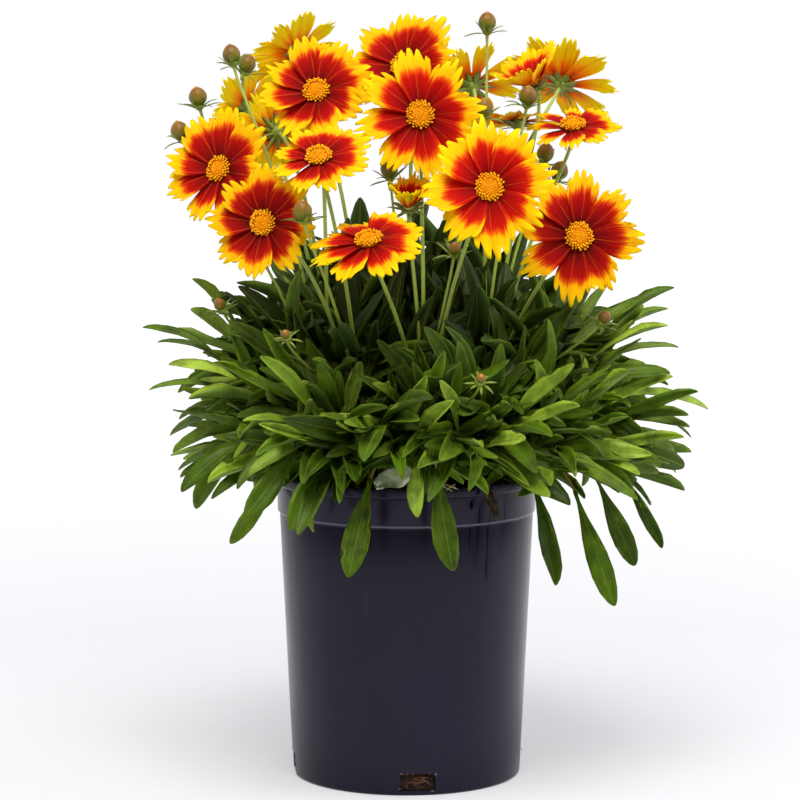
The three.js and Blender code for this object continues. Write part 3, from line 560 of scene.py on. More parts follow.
# ---- The flower stalks ----
# Each head stands on a bare, wiry green stalk of its own, which leaves the crown with its
# neighbours in a loose bunch, rises almost straight and bends at the neck to face its head.
# Open blooms: name, the middle of the disc in millimetres, the way it faces in degrees to the
# right of the front, its elevation, its size, the cup of its petals in degrees, and how pale
# its red is.
BLOOMS = [
    ("A", (-116, -30, 380), -32, 20, 1.13, 13, 0.35),
    ("B", (-55, -40, 428), -8, 30, 1.05, 14, 0.38),
    ("C", (-72, 100, 452), -150, 35, 0.95, 4, 0.9),
    ("D", (-105, 86, 414), -140, 20, 0.9, 4, 0.9),
    ("E", (-52, -110, 392), -12, 51, 0.9, 3, 0.56),
    ("F", (-86, -95, 350), -19, 9, 1.03, 15, 0.15),
    ("G", (-23, -130, 345), -20, 60, 1.08, -5, 0.6),
    ("H", (-3, -10, 443), -20, 29, 1.08, 11, 0.38),
    ("I", (8, -70, 413), 0, 12, 1.19, 5, 0.68),
    ("J", (48, -115, 372), 2, 10, 1.2, 5, 0.85),
    ("K", (103, -75, 341), 8, 8, 1.18, 3, 0.22),
    ("L", (102, -6, 408), -5, 64, 0.86, 4, 0.35),
    ("M", (102, 96, 433), 152, 43, 1.17, 11, 0.75),
    ("N", (41, 110, 431), -160, 35, 1, 4, 0.6),
    ("O", (77, 22, 434), -60, 60, 0.85, 42, 0.7),
    ("P", (1, -64, 363), 0, 62, 0.62, 62, 0.6),
    ("Q", (70, 54, 411), 180, 78, 0.86, 4, 0.3),
    ("R", (-84, 24, 402), -150, 15, 0.95, 4, 0.85),
]
# Closed buds: name, the middle of the ball, and the way it leans from upright.
BUDS = [
    ("01", (-108, -1, 450), (-0.2, 0.1)), ("02", (-100, 55, 444), (0.35, -0.1)),
    ("03", (-129, 4, 424), (-0.15, -0.1)), ("04", (-141, 8, 403), (-0.3, -0.2)),
    ("05", (-61, -122, 360), (-0.2, -0.15)), ("06", (50, 20, 470), (0, -0.1)),
    ("07", (74, -20, 425), (0.1, -0.3)), ("08", (48, 10, 417), (0.1, -0.4)),
    ("09", (87, 20, 389), (0.2, -0.2)), ("10", (97, 40, 377), (0.3, -0.2)),
    ("11", (-11, 20, 379), (-0.1, -0.2)), ("12", (121, -60, 294), (0.7, -0.2)),
    ("13", (29, -60, 336), (0.1, -0.4)), ("14", (-116, -20, 299), (-0.4, -0.3)),
]
# Young heads, all bract, in the same way.
GREEN_HEADS = [
    ("green_0", (43, -140, 266), (0.1, -0.9)), ("green_1", (-72, -110, 289), (-0.2, -0.8)),
]
BLOOM_DEPTH = 5.8  # from the middle of the disc's face back to the petals' roots
BUD = {"height": 11.5, "reach": 13}
PETAL_REACH = 35


def facing_of(heading, elevation):
    level = cos(radians(elevation))
    turn = radians(heading)
    return Vector((level * sin(turn), -level * cos(turn), sin(radians(elevation))))


def head_frame(name):
    """A frame at a head's base whose third axis is the way it faces."""
    base, facing, _ = heads[name]
    side = Vector((0, 0, 1)).cross(facing)
    side = Vector((1, 0, 0)) if side.length < 0.1 else side.normalized()
    lift = facing.cross(side)
    turn = Matrix((side, lift, facing)).transposed().to_4x4()
    return Matrix.Translation(base) @ turn


heads = {}  # by name: base, facing, and the radius that leaves keep clear
for name, at, heading, elevation, size, *_ in BLOOMS:
    facing = facing_of(heading, elevation)
    heads[name] = (Vector(at) - facing * BLOOM_DEPTH, facing, PETAL_REACH * size)
for name, at, lean in BUDS + GREEN_HEADS:
    facing = Vector((*lean, 1)).normalized()
    heads[name] = (Vector(at) - facing * BUD["height"] / 2, facing, BUD["reach"])

# The plant grows from nine crowns: one in the middle and eight round it, each with its own
# share of the mound between two headings.
SHARES = [-140, -105, -50, -6, 30, 98, 136, 172, 220]
CROWN = {"ring": 50, "core": 32, "height": 197, "radius": 5.1, "root": 18}
# A stalk's radius at the foot and how much thinner it gets; how far behind its head it ends, and
# its straight neck; the share of its height that it rises upright; how far out a head stands
# whose stalk leaves its crown's very edge; and how far a neck keeps inside its own share.
STALK = {
    "foot": 1.35, "bud_foot": 1.1, "taper": 0.3, "behind_head": 4, "neck": 22, "upright": 0.55, "steps": 13,
    "fan": 100, "apart": 4,
}


def heading_of(degrees):
    return Vector((cos(radians(degrees)), sin(radians(degrees)), 0))


def up(height):
    return Vector((0, 0, height))


def depth_inside(share, point):
    """How far a point is inside a share of the mound: an outer one's two headings, or None."""
    if share is None:
        return min(CROWN["core"] - point.dot(heading_of((a + b) / 2)) for a, b in zip(SHARES, SHARES[1:]))
    low, high = share
    return min(
        heading_of(low + 90).dot(point), heading_of(high - 90).dot(point),
        point.dot(heading_of((low + high) / 2)) - CROWN["core"])


def crown_under(point):
    """The crown that a point belongs to: its share, its middle and the way out to the point."""
    share = max([*zip(SHARES, SHARES[1:]), None], key=lambda share: depth_inside(share, point))
    middle = Vector() if share is None else heading_of(sum(share) / 2) * CROWN["ring"]
    return share, middle, Vector((point.x - middle.x, point.y - middle.y, 0))


def stalk_path(base, facing):
    """Points up the middle of a stalk, from its crown to the bracts."""
    share, middle, out = crown_under(base)
    aside = out.normalized() * min(1, out.length / STALK["fan"]) * CROWN["radius"]
    start = middle + aside + up(CROWN["height"])
    end = base - facing * STALK["behind_head"]
    before = end - facing * STALK["neck"]
    # A neck that would lean into the next crown's share is drawn inward.
    inward = Vector((middle.x * 1.5, middle.y * 1.5, before.z))
    while depth_inside(share, before) < STALK["apart"] and (before - inward).length > 1:
        before = before.lerp(inward, 0.1)
    rising = start + up((end.z - start.z) * STALK["upright"])
    points = [start - up(CROWN["root"])]
    for i in range(STALK["steps"] + 1):
        t = i / STALK["steps"]
        points.append(
            start * (1 - t) ** 3 + rising * 3 * t * (1 - t) ** 2
            + before * 3 * t * t * (1 - t) + end * t ** 3)
    return points


def drawn_out(name, paths, sides, material, scale=1.0):
    """One piece of round stems. A path is its points and the radius at each, in millimetres."""
    curve = bpy.data.curves.new(name, "CURVE")
    curve.dimensions = "3D"
    for points, radii in paths:
        spline = curve.splines.new("POLY")
        spline.points.add(len(points) - 1)
        for knot, point, radius in zip(spline.points, points, radii):
            knot.co = (*(point * MM), 1)
            knot.radius = radius * MM
    holder = new_object(name + " paths", curve)

    tree, source, size_input = new_growth(name, "Paths", "Thickness", "Stems")
    ring = add_node(tree, "GeometryNodeCurvePrimitiveCircle", {
        "Resolution": sides, "Radius": source["Thickness"]})
    tube = add_node(tree, "GeometryNodeCurveToMesh", {
        "Curve": source["Paths"], "Profile Curve": ring.outputs["Curve"], "Fill Caps": True})
    if "Scale" in tube.inputs:
        fill_in(tree, tube, {"Scale": add_node(tree, "GeometryNodeInputRadius").outputs["Radius"]})
    smooth = add_node(tree, "GeometryNodeSetShadeSmooth", {"Geometry": tube.outputs["Mesh"]})
    solid = add_node(tree, "GeometryNodeRealizeInstances", {"Geometry": smooth.outputs[0]})
    painted = add_node(tree, "GeometryNodeSetMaterial", {"Geometry": solid.outputs[0], "Material": material})
    return new_object(name, grow(holder, tree, painted.outputs[0], size_input, scale))


stem_green, tree, shader = new_finish("stem green", 0.45)
place = place_in(tree)
height = add_node(tree, "ShaderNodeSeparateXYZ", {"Vector": place}).outputs["Z"]
# Browner and darker towards the foot, lighter green upward: partly the stalks' own colour, partly painted
# shade low in the mound.
along = new_ramp(tree, ranged(tree, height, 0.19, 0.46), [
    (0.0, (120, 92, 40)), (0.15, (118, 136, 40)), (0.6, (156, 178, 66)), (1.0, (166, 184, 82))])
flutes = noisy(tree, stretched(tree, place, (1, 1, 0.04)), scale=1400.0, detail=1.0)
fill_in(tree, shader, {
    "Base Color": patches(tree, place, 55.0, 0.58, 0.8, along, (142, 116, 62))["Color"],
    "Normal": relief(tree, 0.35, 0.0006, flutes)})

stalk_paths = []
for name, (base, facing, _) in heads.items():
    points = stalk_path(base, facing)
    last = len(points) - 1
    thick = STALK["foot"] if name.isalpha() else STALK["bud_foot"]
    radii = [thick - STALK["taper"] * i / last for i in range(last)] + [thick]
    stalk_paths.append((points, radii))
stalks = drawn_out("flower_stalks", stalk_paths, 8, stem_green)
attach(stalks, "root")


# ---- The leaves ----
# Lance-shaped green leaves on short leafy shoots, crowded into a mound over the pot. Each has
# a channel along its midrib and a paler underside; some carry two small leaflets, and the
# oldest reach far out on long stalks and hang over the lip.
def thin_sheet(rows, columns, place, half):
    """A closed thin blade. Place gives the point at a row, a column and a height off the
    middle surface; the two faces meet along the whole edge."""
    n, m = len(rows), len(columns)
    points, spots, number = [], [], {}
    for side in (1, -1):
        for i, s in enumerate(rows):
            for j, c in enumerate(columns):
                on_edge = i in (0, n - 1) or j in (0, m - 1)
                if on_edge and side == -1:
                    number[side, i, j] = number[1, i, j]
                    continue
                number[side, i, j] = len(points)
                points.append(place(s, c, 0 if on_edge else side * half))
                spots.append((c / 2 + 0.5, s))
    faces, under = [], []
    for side in (1, -1):
        for i in range(n - 1):
            for j in range(m - 1):
                around = ((i, j), (i + 1, j), (i + 1, j + 1), (i, j + 1))
                face = [number[side, row, column] for row, column in around]
                faces.append(face[::side])
                under.append(side == -1)
    return points, faces, spots, under


LEAF_ROWS = [0, 0.1, 0.24, 0.4, 0.56, 0.72, 0.86, 0.95, 0.988, 1]
LEAF_WIDTHS = [0.09, 0.08, 0.18, 0.35, 0.47, 0.49, 0.385, 0.225, 0.105, 0.03]
LEAF_COLUMNS = [-1, -0.55, 0, 0.55, 1]
LEAF_DROOPS = [0.1, 0.5, 0.9, 1.3, 1.8]
LEAF_HALF = 0.0045


def bent(droop, s):
    """Where a share of a blade of length 1 ends, which sets off along X and bends down."""
    return Vector((sin(droop * s) / droop, 0, -(1 - cos(droop * s)) / droop))


def leaf_shape(droop, fold, wave, phase):
    """A blade of length 1 and width 1 along X, which bends down by its droop."""
    def place(s, c, lift):
        normal = Vector((sin(droop * s), 0, cos(droop * s)))
        width = LEAF_WIDTHS[LEAF_ROWS.index(s)]
        channel = fold * width * abs(c) ** 1.3 + wave * abs(c) * sin(9 * s + phase) * width
        across = c * width * (1 - 0.12 * fold * abs(c))
        return bent(droop, s) + Vector((0, across, 0)) + normal * (channel * 0.24 + lift)
    return thin_sheet(LEAF_ROWS, LEAF_COLUMNS, place, LEAF_HALF)


def joined_shapes(parts):
    """Several thin sheets as one shape, each moved by a matrix of its own."""
    points, faces, spots, under = [], [], [], []
    for (own_points, own_faces, own_spots, own_under), matrix in parts:
        first = len(points)
        points.extend(matrix @ Vector(point) for point in own_points)
        faces.extend([first + corner for corner in face] for face in own_faces)
        spots.extend(own_spots)
        under.extend(own_under)
    return shape_mesh(points, faces, spots, under)


# The leaflets: where on the leaf they sit, how far they spread and lift, and how small they are.
LEAFLET = {"at": 0.17, "spread": 0.75, "lift": -0.1, "size": 0.42}
chance = random.Random(23)
leaf_shapes = []
for droop in LEAF_DROOPS:
    for _ in range(2):
        blade = leaf_shape(droop, chance.uniform(0.3, 0.75), chance.uniform(0.1, 0.3), chance.uniform(0, 6))
        leaf_shapes.append(joined_shapes([(blade, Matrix())]))
small = leaf_shape(0.4, 0.6, 0.1, 2.0)
for droop in (0.5, 1.1):
    parts = [(leaf_shape(droop, 0.7, 0.15, 1.0), Matrix())]
    seat = Vector((LEAFLET["at"], 0, -LEAFLET["at"] * LEAFLET["at"] * droop / 2))
    for side in (-1, 1):
        spread = Matrix.Rotation(side * LEAFLET["spread"], 4, "Z") @ Matrix.Rotation(LEAFLET["lift"], 4, "Y")
        shrunk = Matrix.Diagonal((LEAFLET["size"],) * 3 + (1,))
        parts.append((small, Matrix.Translation(seat) @ spread @ shrunk))
    leaf_shapes.append(joined_shapes(parts))
WINGED = len(leaf_shapes) - 2


def nearest_droop(droop):
    return min(range(len(LEAF_DROOPS)), key=lambda k: abs(LEAF_DROOPS[k] - droop))


def leaf_frame(ahead, upward, roll):
    """The turn of a blade that sets off along one direction with its face towards another."""
    ahead = ahead.normalized()
    face = (upward - ahead * upward.dot(ahead)).normalized()
    turn = Matrix((ahead, face.cross(ahead), face)).transposed()
    return turn @ Matrix.Rotation(roll, 3, "X")


# What leaves keep clear of, in millimetres: the pot by a margin, the mix by staying above a
# height, the loose things at the front of the lip in two boxes across and upward, and each
# head from behind it to before it and all round.
PALE_LEAF = Vector((-7, -84, 197))
CLEAR = {
    "pot": 3.5, "mix": 184, "front": -70, "pale_leaf": (PALE_LEAF.x - 16, PALE_LEAF.x + 16, 186, 210),
    "brown_leaf": (14, 38, 184, 197), "behind": -9, "before": 12, "round": 4,
}


def is_clear(points, lowest):
    """Whether points keep out of the pot, the mix and the heads, and above a lowest height."""
    for point in points:
        radius = math.hypot(point.x, point.y)
        if point.z < lowest:
            return False
        for left, right, low, high in (CLEAR["pale_leaf"], CLEAR["brown_leaf"]):
            if point.y < CLEAR["front"] and left < point.x < right and low < point.z < high:
                return False
        top = POT["height"] + CLEAR["pot"] if radius > inner - 3 else CLEAR["mix"]
        if radius < POT["lip"] + CLEAR["pot"] and point.z < top:
            return False
        for base, facing, reach in heads.values():
            offset = point - base
            height = offset.dot(facing)
            aside = (offset - facing * height).length
            if CLEAR["behind"] < height < CLEAR["before"] and aside < reach + CLEAR["round"]:
                return False
    return True


# Painted shade: the leaves in the heart of the plant, between the stalks, are given darker tones for the
# shade of the flowers over them: how far out, in millimetres, the shade is full, from where it ends,
# and the tone left to the shaded ones.
HEART_PAINTED_SHADE = {"dark": 48, "light": 112, "tone": 0.2}
LOWEST = {"mostly": 186, "rarely": 166, "share": 0.86}
leaf_spots = []


def grow_leaf(root, ahead, upward, length, width, droop, tone, winged, roll):
    """Adds a leaf, lifted in small steps until it is clear. One that never is isn't grown."""
    lowest = LOWEST["mostly"] if chance.random() < LOWEST["share"] else LOWEST["rarely"]
    for lift in range(8):
        turn = leaf_frame(ahead + up(0.14 * lift), upward, roll)
        points = [root + turn @ (bent(droop, s) * length) for s in (0.25, 0.5, 0.75, 1)]
        if is_clear(points, lowest):
            pick = WINGED + (droop > 0.8) if winged else 2 * nearest_droop(droop) + chance.randrange(2)
            size = (length * MM, width * MM, length * MM)
            # Painted shade: a leaf's tone is darkened the nearer it stands to the heart of the plant.
            far = math.hypot(points[2].x, points[2].y)
            outward = (far - HEART_PAINTED_SHADE["dark"]) / (HEART_PAINTED_SHADE["light"] - HEART_PAINTED_SHADE["dark"])
            heart_painted_shade = HEART_PAINTED_SHADE["tone"] + (1 - HEART_PAINTED_SHADE["tone"]) * max(0, min(1, outward))
            leaf_spots.append((root * MM, turn, size, tone * heart_painted_shade, pick))
            return


def arch(start, bend, end, steps):
    """Points of an arch between two ends, drawn towards a bend."""
    points = []
    for k in range(steps + 1):
        t = k / steps
        points.append(start * (1 - t) ** 2 + bend * 2 * t * (1 - t) + end * t * t)
    return points


# The leafy shoots. The outer ones lean out over the lip in a wide ring; the inner ones stand
# upright between the flower stalks, taller at the back. Each bears its leaves in a rosette:
# old ones below, wide open, and young ones closed round the tip. Their counts come first, then
# how far out the outer ones reach, the middle of their heights and their rise above it, how far
# out and how high the inner ones stand, and where their roots are.
SHOOTS = {
    "outer": 120, "right": 20, "reach": 102, "middle": 217, "rise": 62, "inner": 74, "inside": 78, "top": 262,
    "root": 178, "root_reach": 46, "foot": 1.25, "taper": 0.4, "rosette": 15, "winged": 0.14,
    "right_out": 3, "left_in": 19, "over_lip": 7, "lowest_inside": 204,
}
# The leaves of a shoot at the sides, elsewhere in the ring, and between the stalks: how many,
# how wide the oldest open in radians, how long the longest are and how slim.
SIDE_ROSETTE = {"count": 6, "widest": 1.15, "longest": 98, "slim": 0.8}
OUTER_ROSETTE = {"count": 7, "widest": 1.2, "longest": 87, "slim": 0.94}
INNER_ROSETTE = {"count": 6, "widest": 0.62, "longest": 94}
SPIRAL = 137.508  # degrees from each shoot to the next
shoot_paths = []


def grow_shoot(end, pitch, out, tones, count, widest, longest, slim=1.0):
    """One shoot from the mix to its end, with its rosette. Its leaves' tones lie in a range."""
    far = min(SHOOTS["root_reach"], 0.55 * math.hypot(end.x, end.y) + 3)
    start = Vector((end.x, end.y, 0)).normalized() * far
    start.z = SHOOTS["root"]
    axis = out * cos(pitch) + up(sin(pitch))
    path = arch(start, start.lerp(end, 0.6) + up(20), end, 6)
    shoot_paths.append((path, [SHOOTS["foot"] - SHOOTS["taper"] * step / 6 for step in range(7)]))
    side = axis.cross(up(1)).normalized() if abs(axis.z) < 0.99 else Vector((1, 0, 0))
    first = chance.uniform(0, 6.28)
    for k in range(count):
        age = k / (count - 1)
        root = end - axis * SHOOTS["rosette"] * (1 - age)
        around = first + (k // 2) * 1.45 + (k % 2) * 3.14 + chance.uniform(-0.25, 0.25)
        opening = widest - (widest - 0.25) * age + chance.uniform(-0.18, 0.18)
        spread = side * cos(around) + axis.cross(side) * sin(around)
        ahead = axis * cos(opening) + spread * sin(opening)
        upward = axis + Vector((0, 0.5 if end.y > 25 else -0.5, 0.7))
        length = chance.uniform(0.55, 1.06) * longest * (1 - 0.2 * age)
        width = length * chance.uniform(0.125, 0.205) * slim
        droop = chance.choice((0.1, 0.2, 0.4, 0.6, 1.0)) * (1.1 - 0.7 * age) + 0.06
        grow_leaf(root, ahead, upward, length, width, droop, chance.uniform(*tones),
                  chance.random() < SHOOTS["winged"], chance.uniform(-0.5, 0.5))


for i in range(SHOOTS["outer"] + SHOOTS["right"]):
    elevation = math.asin(-0.3 + 0.95 * min(1, (i + 0.5) / SHOOTS["outer"]))
    out = heading_of(i * SPIRAL + chance.uniform(-9, 9))
    if i >= SHOOTS["outer"]:
        elevation = chance.uniform(-0.3, 0.35)
        out = heading_of(chance.uniform(-48, 40))
    depth = chance.uniform(0.78, 1.08)
    end = out * SHOOTS["reach"] * depth * cos(elevation)
    # The mound reaches further to the right than to the left.
    if out.x > 0.5:
        end += out * SHOOTS["right_out"]
    elif out.x < -0.5:
        end -= out * SHOOTS["left_in"]
    rise = SHOOTS["rise"] * (1 + (0.75 if out.y < 0 else 0.45) * out.y + 0.25 * abs(out.x))
    end.z = max(SHOOTS["middle"] + rise * sin(elevation), POT["height"] + SHOOTS["over_lip"])
    aim = Matrix.Rotation(chance.uniform(-0.55, 0.55), 3, "Z") @ out
    pitch = (elevation * 0.8 + 0.38) * (1 + 0.35 * min(0, out.y)) + chance.uniform(-0.4, 0.4)
    # Painted light and shade: leaves of shoots at the sides get lighter tones, those of the highest shoots
    # darker ones.
    tones = (0.05 + 0.3 * abs(out.x), 0.95 - 0.5 * max(0, sin(elevation)))
    if abs(out.x) > 0.6:
        grow_shoot(end - out * 5, pitch, aim, tones, **SIDE_ROSETTE)
    else:
        grow_shoot(end, pitch, aim, tones, **OUTER_ROSETTE)
for i in range(SHOOTS["inner"]):
    share = math.sqrt((i + 0.5) / SHOOTS["inner"])
    out = heading_of(i * SPIRAL + chance.uniform(-9, 9))
    end = out * SHOOTS["inside"] * share
    slope = (0.5 * end.y if end.y > -20 else end.y + 10) - 0.5 * max(0, -end.x - 42)
    height = SHOOTS["top"] - 20 * share ** 2 + slope + chance.uniform(-12, 6)
    end.z = max(height, SHOOTS["lowest_inside"])
    pitch = 1.45 - 0.45 * share + chance.uniform(-0.2, 0.2)
    # Painted shade: the inner leaves, between the flower stalks, get only dark tones.
    grow_shoot(end, pitch, out, (0, 0.2), **INNER_ROSETTE)

# The leaves on long stalks: where the tip is, how far the stalk rises above the straight
# line from its crown, the blade's length and its width.
REACHING = [
    ((-166, -20, 276), 46, 58, 9), ((-158, 12, 268), 40, 52, 10), ((-144, -45, 256), 42, 50, 13),
    ((-160, -14, 240), 44, 54, 11), ((-136, 14, 308), 24, 48, 12), ((-150, 22, 204), 52, 56, 13),
    ((-128, -72, 182), 58, 58, 14), ((-123, -58, 172), 60, 52, 13), ((-93, -90, 152), 64, 54, 10),
    ((-84, -116, 173), 60, 56, 14), ((-62, -124, 170), 58, 50, 13), ((-33, -128, 144), 74, 58, 16),
    ((4, -138, 181), 56, 44, 12), ((21, -126, 147), 72, 60, 15), ((-27, -164, 217), 52, 62, 15),
    ((88, -86, 132), 74, 64, 12), ((122, -76, 117), 84, 68, 14), ((137, -44, 136), 78, 56, 13),
    ((156, -22, 143), 76, 58, 8), ((160, -56, 179), 62, 62, 13), ((166, -24, 191), 56, 56, 12),
    ((186, -30, 228), 50, 64, 13), ((180, 22, 207), 54, 60, 12), ((168, 6, 302), 30, 58, 12),
    ((166, 34, 288), 32, 52, 12), ((158, -48, 284), 34, 54, 13), ((172, 16, 264), 40, 56, 13),
    ((156, -70, 250), 44, 54, 14), ((164, 62, 236), 46, 58, 13), ((130, 112, 190), 58, 58, 14),
    ((112, 116, 278), 36, 54, 12), ((84, 140, 228), 48, 58, 13), ((48, 136, 150), 72, 58, 14),
    ((36, 160, 252), 44, 56, 13), ((-18, 158, 196), 56, 58, 14), ((-34, 150, 276), 38, 54, 12),
    ((-62, 142, 236), 46, 56, 13), ((-92, 110, 158), 68, 56, 14), ((-112, 98, 262), 40, 54, 12),
    ((-142, 62, 214), 52, 56, 13), ((-142, 46, 284), 34, 50, 12),
]
LONG_STALK = {"foot": 1.2, "taper": 0.3, "steps": 24, "hangs_below": 180}
for tip, rise, length, width in REACHING:
    tip = Vector(tip)
    _, middle, out = crown_under(tip)
    root = middle + out.normalized() * CROWN["radius"] + up(CROWN["height"])
    bend = root.lerp(tip, 0.62) + up(rise * (1.25 if tip.z < 175 else 0.95))
    line = arch(root, bend, tip, LONG_STALK["steps"])
    blade_from = LONG_STALK["steps"]
    run = 0.0
    while run < length and blade_from > 0:
        blade_from -= 1
        run += (line[blade_from + 1] - line[blade_from]).length
    blade_root = line[blade_from]
    first = (line[blade_from + 1] - blade_root).normalized()
    final = (tip - line[-2]).normalized()
    nearest = nearest_droop(max(0.1, first.angle(final)))
    droop = LEAF_DROOPS[nearest]
    chord = tip - blade_root
    level = chord.cross(up(1)).normalized()
    ahead = Matrix.Rotation(droop / 2, 3, level) @ chord.normalized()
    size = chord.length * droop / (2 * sin(droop / 2)) * MM
    hangs = tip.z < LONG_STALK["hangs_below"]
    to_light = Vector((0, 1 if tip.y > 60 else -1, 0.4 if hangs else 2.2))
    turn = leaf_frame(ahead, to_light, chance.uniform(-0.35, 0.35))
    wide = width * (1.12 if hangs else 0.95) * MM
    # Painted shade: leaves that hang below the mound get darker tones, those at the right darkest.
    tone = chance.uniform(0.3, 1) * (0.6 if hangs and tip.x > 60 else 0.85 if hangs else 1)
    leaf_spots.append((blade_root * MM, turn, (size, wide, size), tone, 2 * nearest))
    path = line[:blade_from + 1:3] + [blade_root]
    radii = [LONG_STALK["foot"] - LONG_STALK["taper"] * k / len(path) for k in range(len(path))]
    shoot_paths.append((path, radii))


def surface_in(tree):
    """Where a point is on its leaf, petal or floret: X across and Y along, both 0 to 1."""
    spot = add_node(tree, "ShaderNodeUVMap", uv_map="surface").outputs["UV"]
    return add_node(tree, "ShaderNodeSeparateXYZ", {"Vector": spot}).outputs


def set_glow(shader, weight, radius):
    """How much light passes through a leaf or a petal, and how far each colour of it goes."""
    shader.inputs["Subsurface Weight"].default_value = weight
    shader.inputs["Subsurface Radius"].default_value = radius
    shader.inputs["Subsurface Scale"].default_value = 1.0


def leaf_finish(name, young, grown, old, vein, roughness, veins_up):
    """A leaf's face: a colour from old to young by its tone, which also carries painted shade and light, so
    that shaded leaves take the old colour; a midrib and side veins.
    """
    material, tree, shader = new_finish(name, roughness)
    spot = surface_in(tree)
    # The dark end serves old leaves and painted shade alike.
    base = new_ramp(tree, tone_in(tree), [(0.0, old), (0.55, grown), (1.0, young)])
    clouded = patches(tree, place_in(tree), 70.0, 0.42, 0.8, base, old)["Color"]
    off_rib = worked_out(tree, "ABSOLUTE", worked_out(tree, "SUBTRACT", spot["X"], 0.5))
    rib = ranged(tree, off_rib, 0.01, 0.05, 1.0, 0.0)
    slant = worked_out(tree, "MULTIPLY_ADD", off_rib, -0.8, spot["Y"])
    wave = worked_out(tree, "SINE", worked_out(tree, "MULTIPLY", slant, 62.0))
    lines = worked_out(tree, "MAXIMUM", rib, ranged(tree, wave, 0.75, 1.0, 0.0, 0.14))
    shown = worked_out(tree, "MULTIPLY", lines, 0.32)
    fill_in(tree, shader, {
        "Base Color": blended(tree, shown, clouded, vein),
        "Normal": relief(tree, 0.5, 0.0008, lines, invert=not veins_up),
        "Specular IOR Level": 0.25, "Specular Tint": (0.95, 1.0, 0.66, 1)})
    set_glow(shader, 0.25, (0.0008, 0.0012, 0.0002))
    return material


leaf_top = leaf_finish(
    "leaf face", young=(174, 204, 66), grown=(82, 112, 13), old=(24, 37, 2), vein=(140, 162, 62),
    roughness=0.42, veins_up=False)
leaf_back = leaf_finish(
    "leaf underside", young=(134, 158, 66), grown=(100, 126, 44), old=(46, 68, 16), vein=(142, 162, 74),
    roughness=0.55, veins_up=True)
halves = {
    "leaves_front": [spot for spot in leaf_spots if spot[0].y < 0],
    "leaves_back": [spot for spot in leaf_spots if spot[0].y >= 0],
}
for name, spots in halves.items():
    leaves = set_out(name, spots, leaf_shapes, leaf_top, leaf_back)
    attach(leaves, "root")
    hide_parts(*[f"clump_{i}" for i in range(1, 9)], "clump_middle")
shoots = drawn_out("leafy_shoots", shoot_paths, 6, stem_green)
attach(shoots, "root")


# ---- Loose things at the lip ----
# What every nursery pot collects: a bleached, crumpled old leaf caught at the front, a brown
# dried one that hangs over the band, and a few pale root ends.
def crumpled(length, width, folds, seed):
    """A dry blade along X, folded by noise."""
    def place(s, c, lift):
        wide = width * sin(pi * min(0.97, 0.08 + s * 0.9)) ** 0.6
        fold = noise.noise(Vector((s * folds, c * 1.6, seed)))
        side = noise.noise(Vector((s * 2, seed, c)))
        return Vector((s * length, c * wide + 2.2 * side, 4.2 * fold + lift))
    return thin_sheet([i / 12 for i in range(13)], [-1, -0.7, -0.35, 0, 0.35, 0.7, 1], place, 0.25)


def dry_finish(name, light, dark):
    """A dull, rough finish of a light colour in dark patches."""
    material, tree, shader = new_finish(name, 0.8)
    place = place_in(tree)
    fill_in(tree, shader, {
        "Base Color": patches(tree, place, 260.0, 0.4, 0.7, light, dark)["Color"],
        "Normal": relief(tree, 0.5, 0.0006, noisy(tree, place, scale=900.0, detail=3.0))})
    return material


bleached = dry_finish("bleached leaf", (196, 202, 170), (150, 158, 116))
withered = dry_finish("withered leaf", (70, 54, 30), (36, 28, 18))
rooty = dry_finish("root fibre", (196, 184, 144), (150, 128, 88))
pale_sheet = crumpled(length=26, width=7.0, folds=3, seed=3.1)
brown_sheet = crumpled(length=24, width=3.6, folds=4, seed=8.4)
scraps = [
    # name, sheet, the place of its root in millimetres, turn, finish
    ("pale_leaf", pale_sheet, (-19, -85, 192), (1.15, -0.42, 0.1), bleached),
    ("brown_leaf", brown_sheet, (47, -70, 192), (0.5, 1.05, -0.9), withered),
]
for name, (points, faces, spots, under), corner, turn, finish in scraps:
    pose = Matrix.Translation(corner) @ Euler(turn).to_matrix().to_4x4()
    mesh = shape_mesh([(pose @ Vector(point)) * MM for point in points], faces, spots, under)
    mesh.materials.append(finish)
    scrap = new_object(name, mesh)
    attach(scrap, "root")

FIBRES = {"count": 7, "from": -80, "to": -66}  # their headings in degrees
chance = random.Random(71)
fibre_paths = []
for _ in range(FIBRES["count"]):
    out = heading_of(chance.uniform(FIBRES["from"], FIBRES["to"]))
    across = Vector((-out.y, out.x, 0)) * chance.choice((-1, 1))
    points = [
        out * chance.uniform(70, 76) + up(181),
        out * 77 + across * 2 + up(190.5),
        out * 81 + across * chance.uniform(3, 7) + up(192),
        out * chance.uniform(82, 85.5) + across * chance.uniform(8, 13) + up(chance.uniform(188, 192)),
    ]
    fibre_paths.append((points, [0.7, 0.6, 0.5, 0.3]))
fibres = drawn_out("root_fibres", fibre_paths, 5, rooty)
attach(fibres, "root")


# ---- Behind and round the drainage notches ----
# Brown feeding roots curl through the mix where the notches lay it bare, and the saw has left
# pale burrs of plastic along each notch's edges.
NOTCH_ROOTS = {"count": 9, "steps": 8, "thick": 0.32, "taper": 0.02, "aside": 9, "low": 4.2, "high": 12.8}
NOTCH_BURRS = {"count": 15, "shortest": 0.4, "longest": 1.3, "wide": 0.4, "thick": 0.35, "tilt": 0.7}


def notch_point(heading, across, z, out):
    """A place at a notch: along its width, its height, and how far from the pot's axis."""
    east, north = cos(heading), sin(heading)
    return Vector((out * east - across * north, out * north + across * east, z))


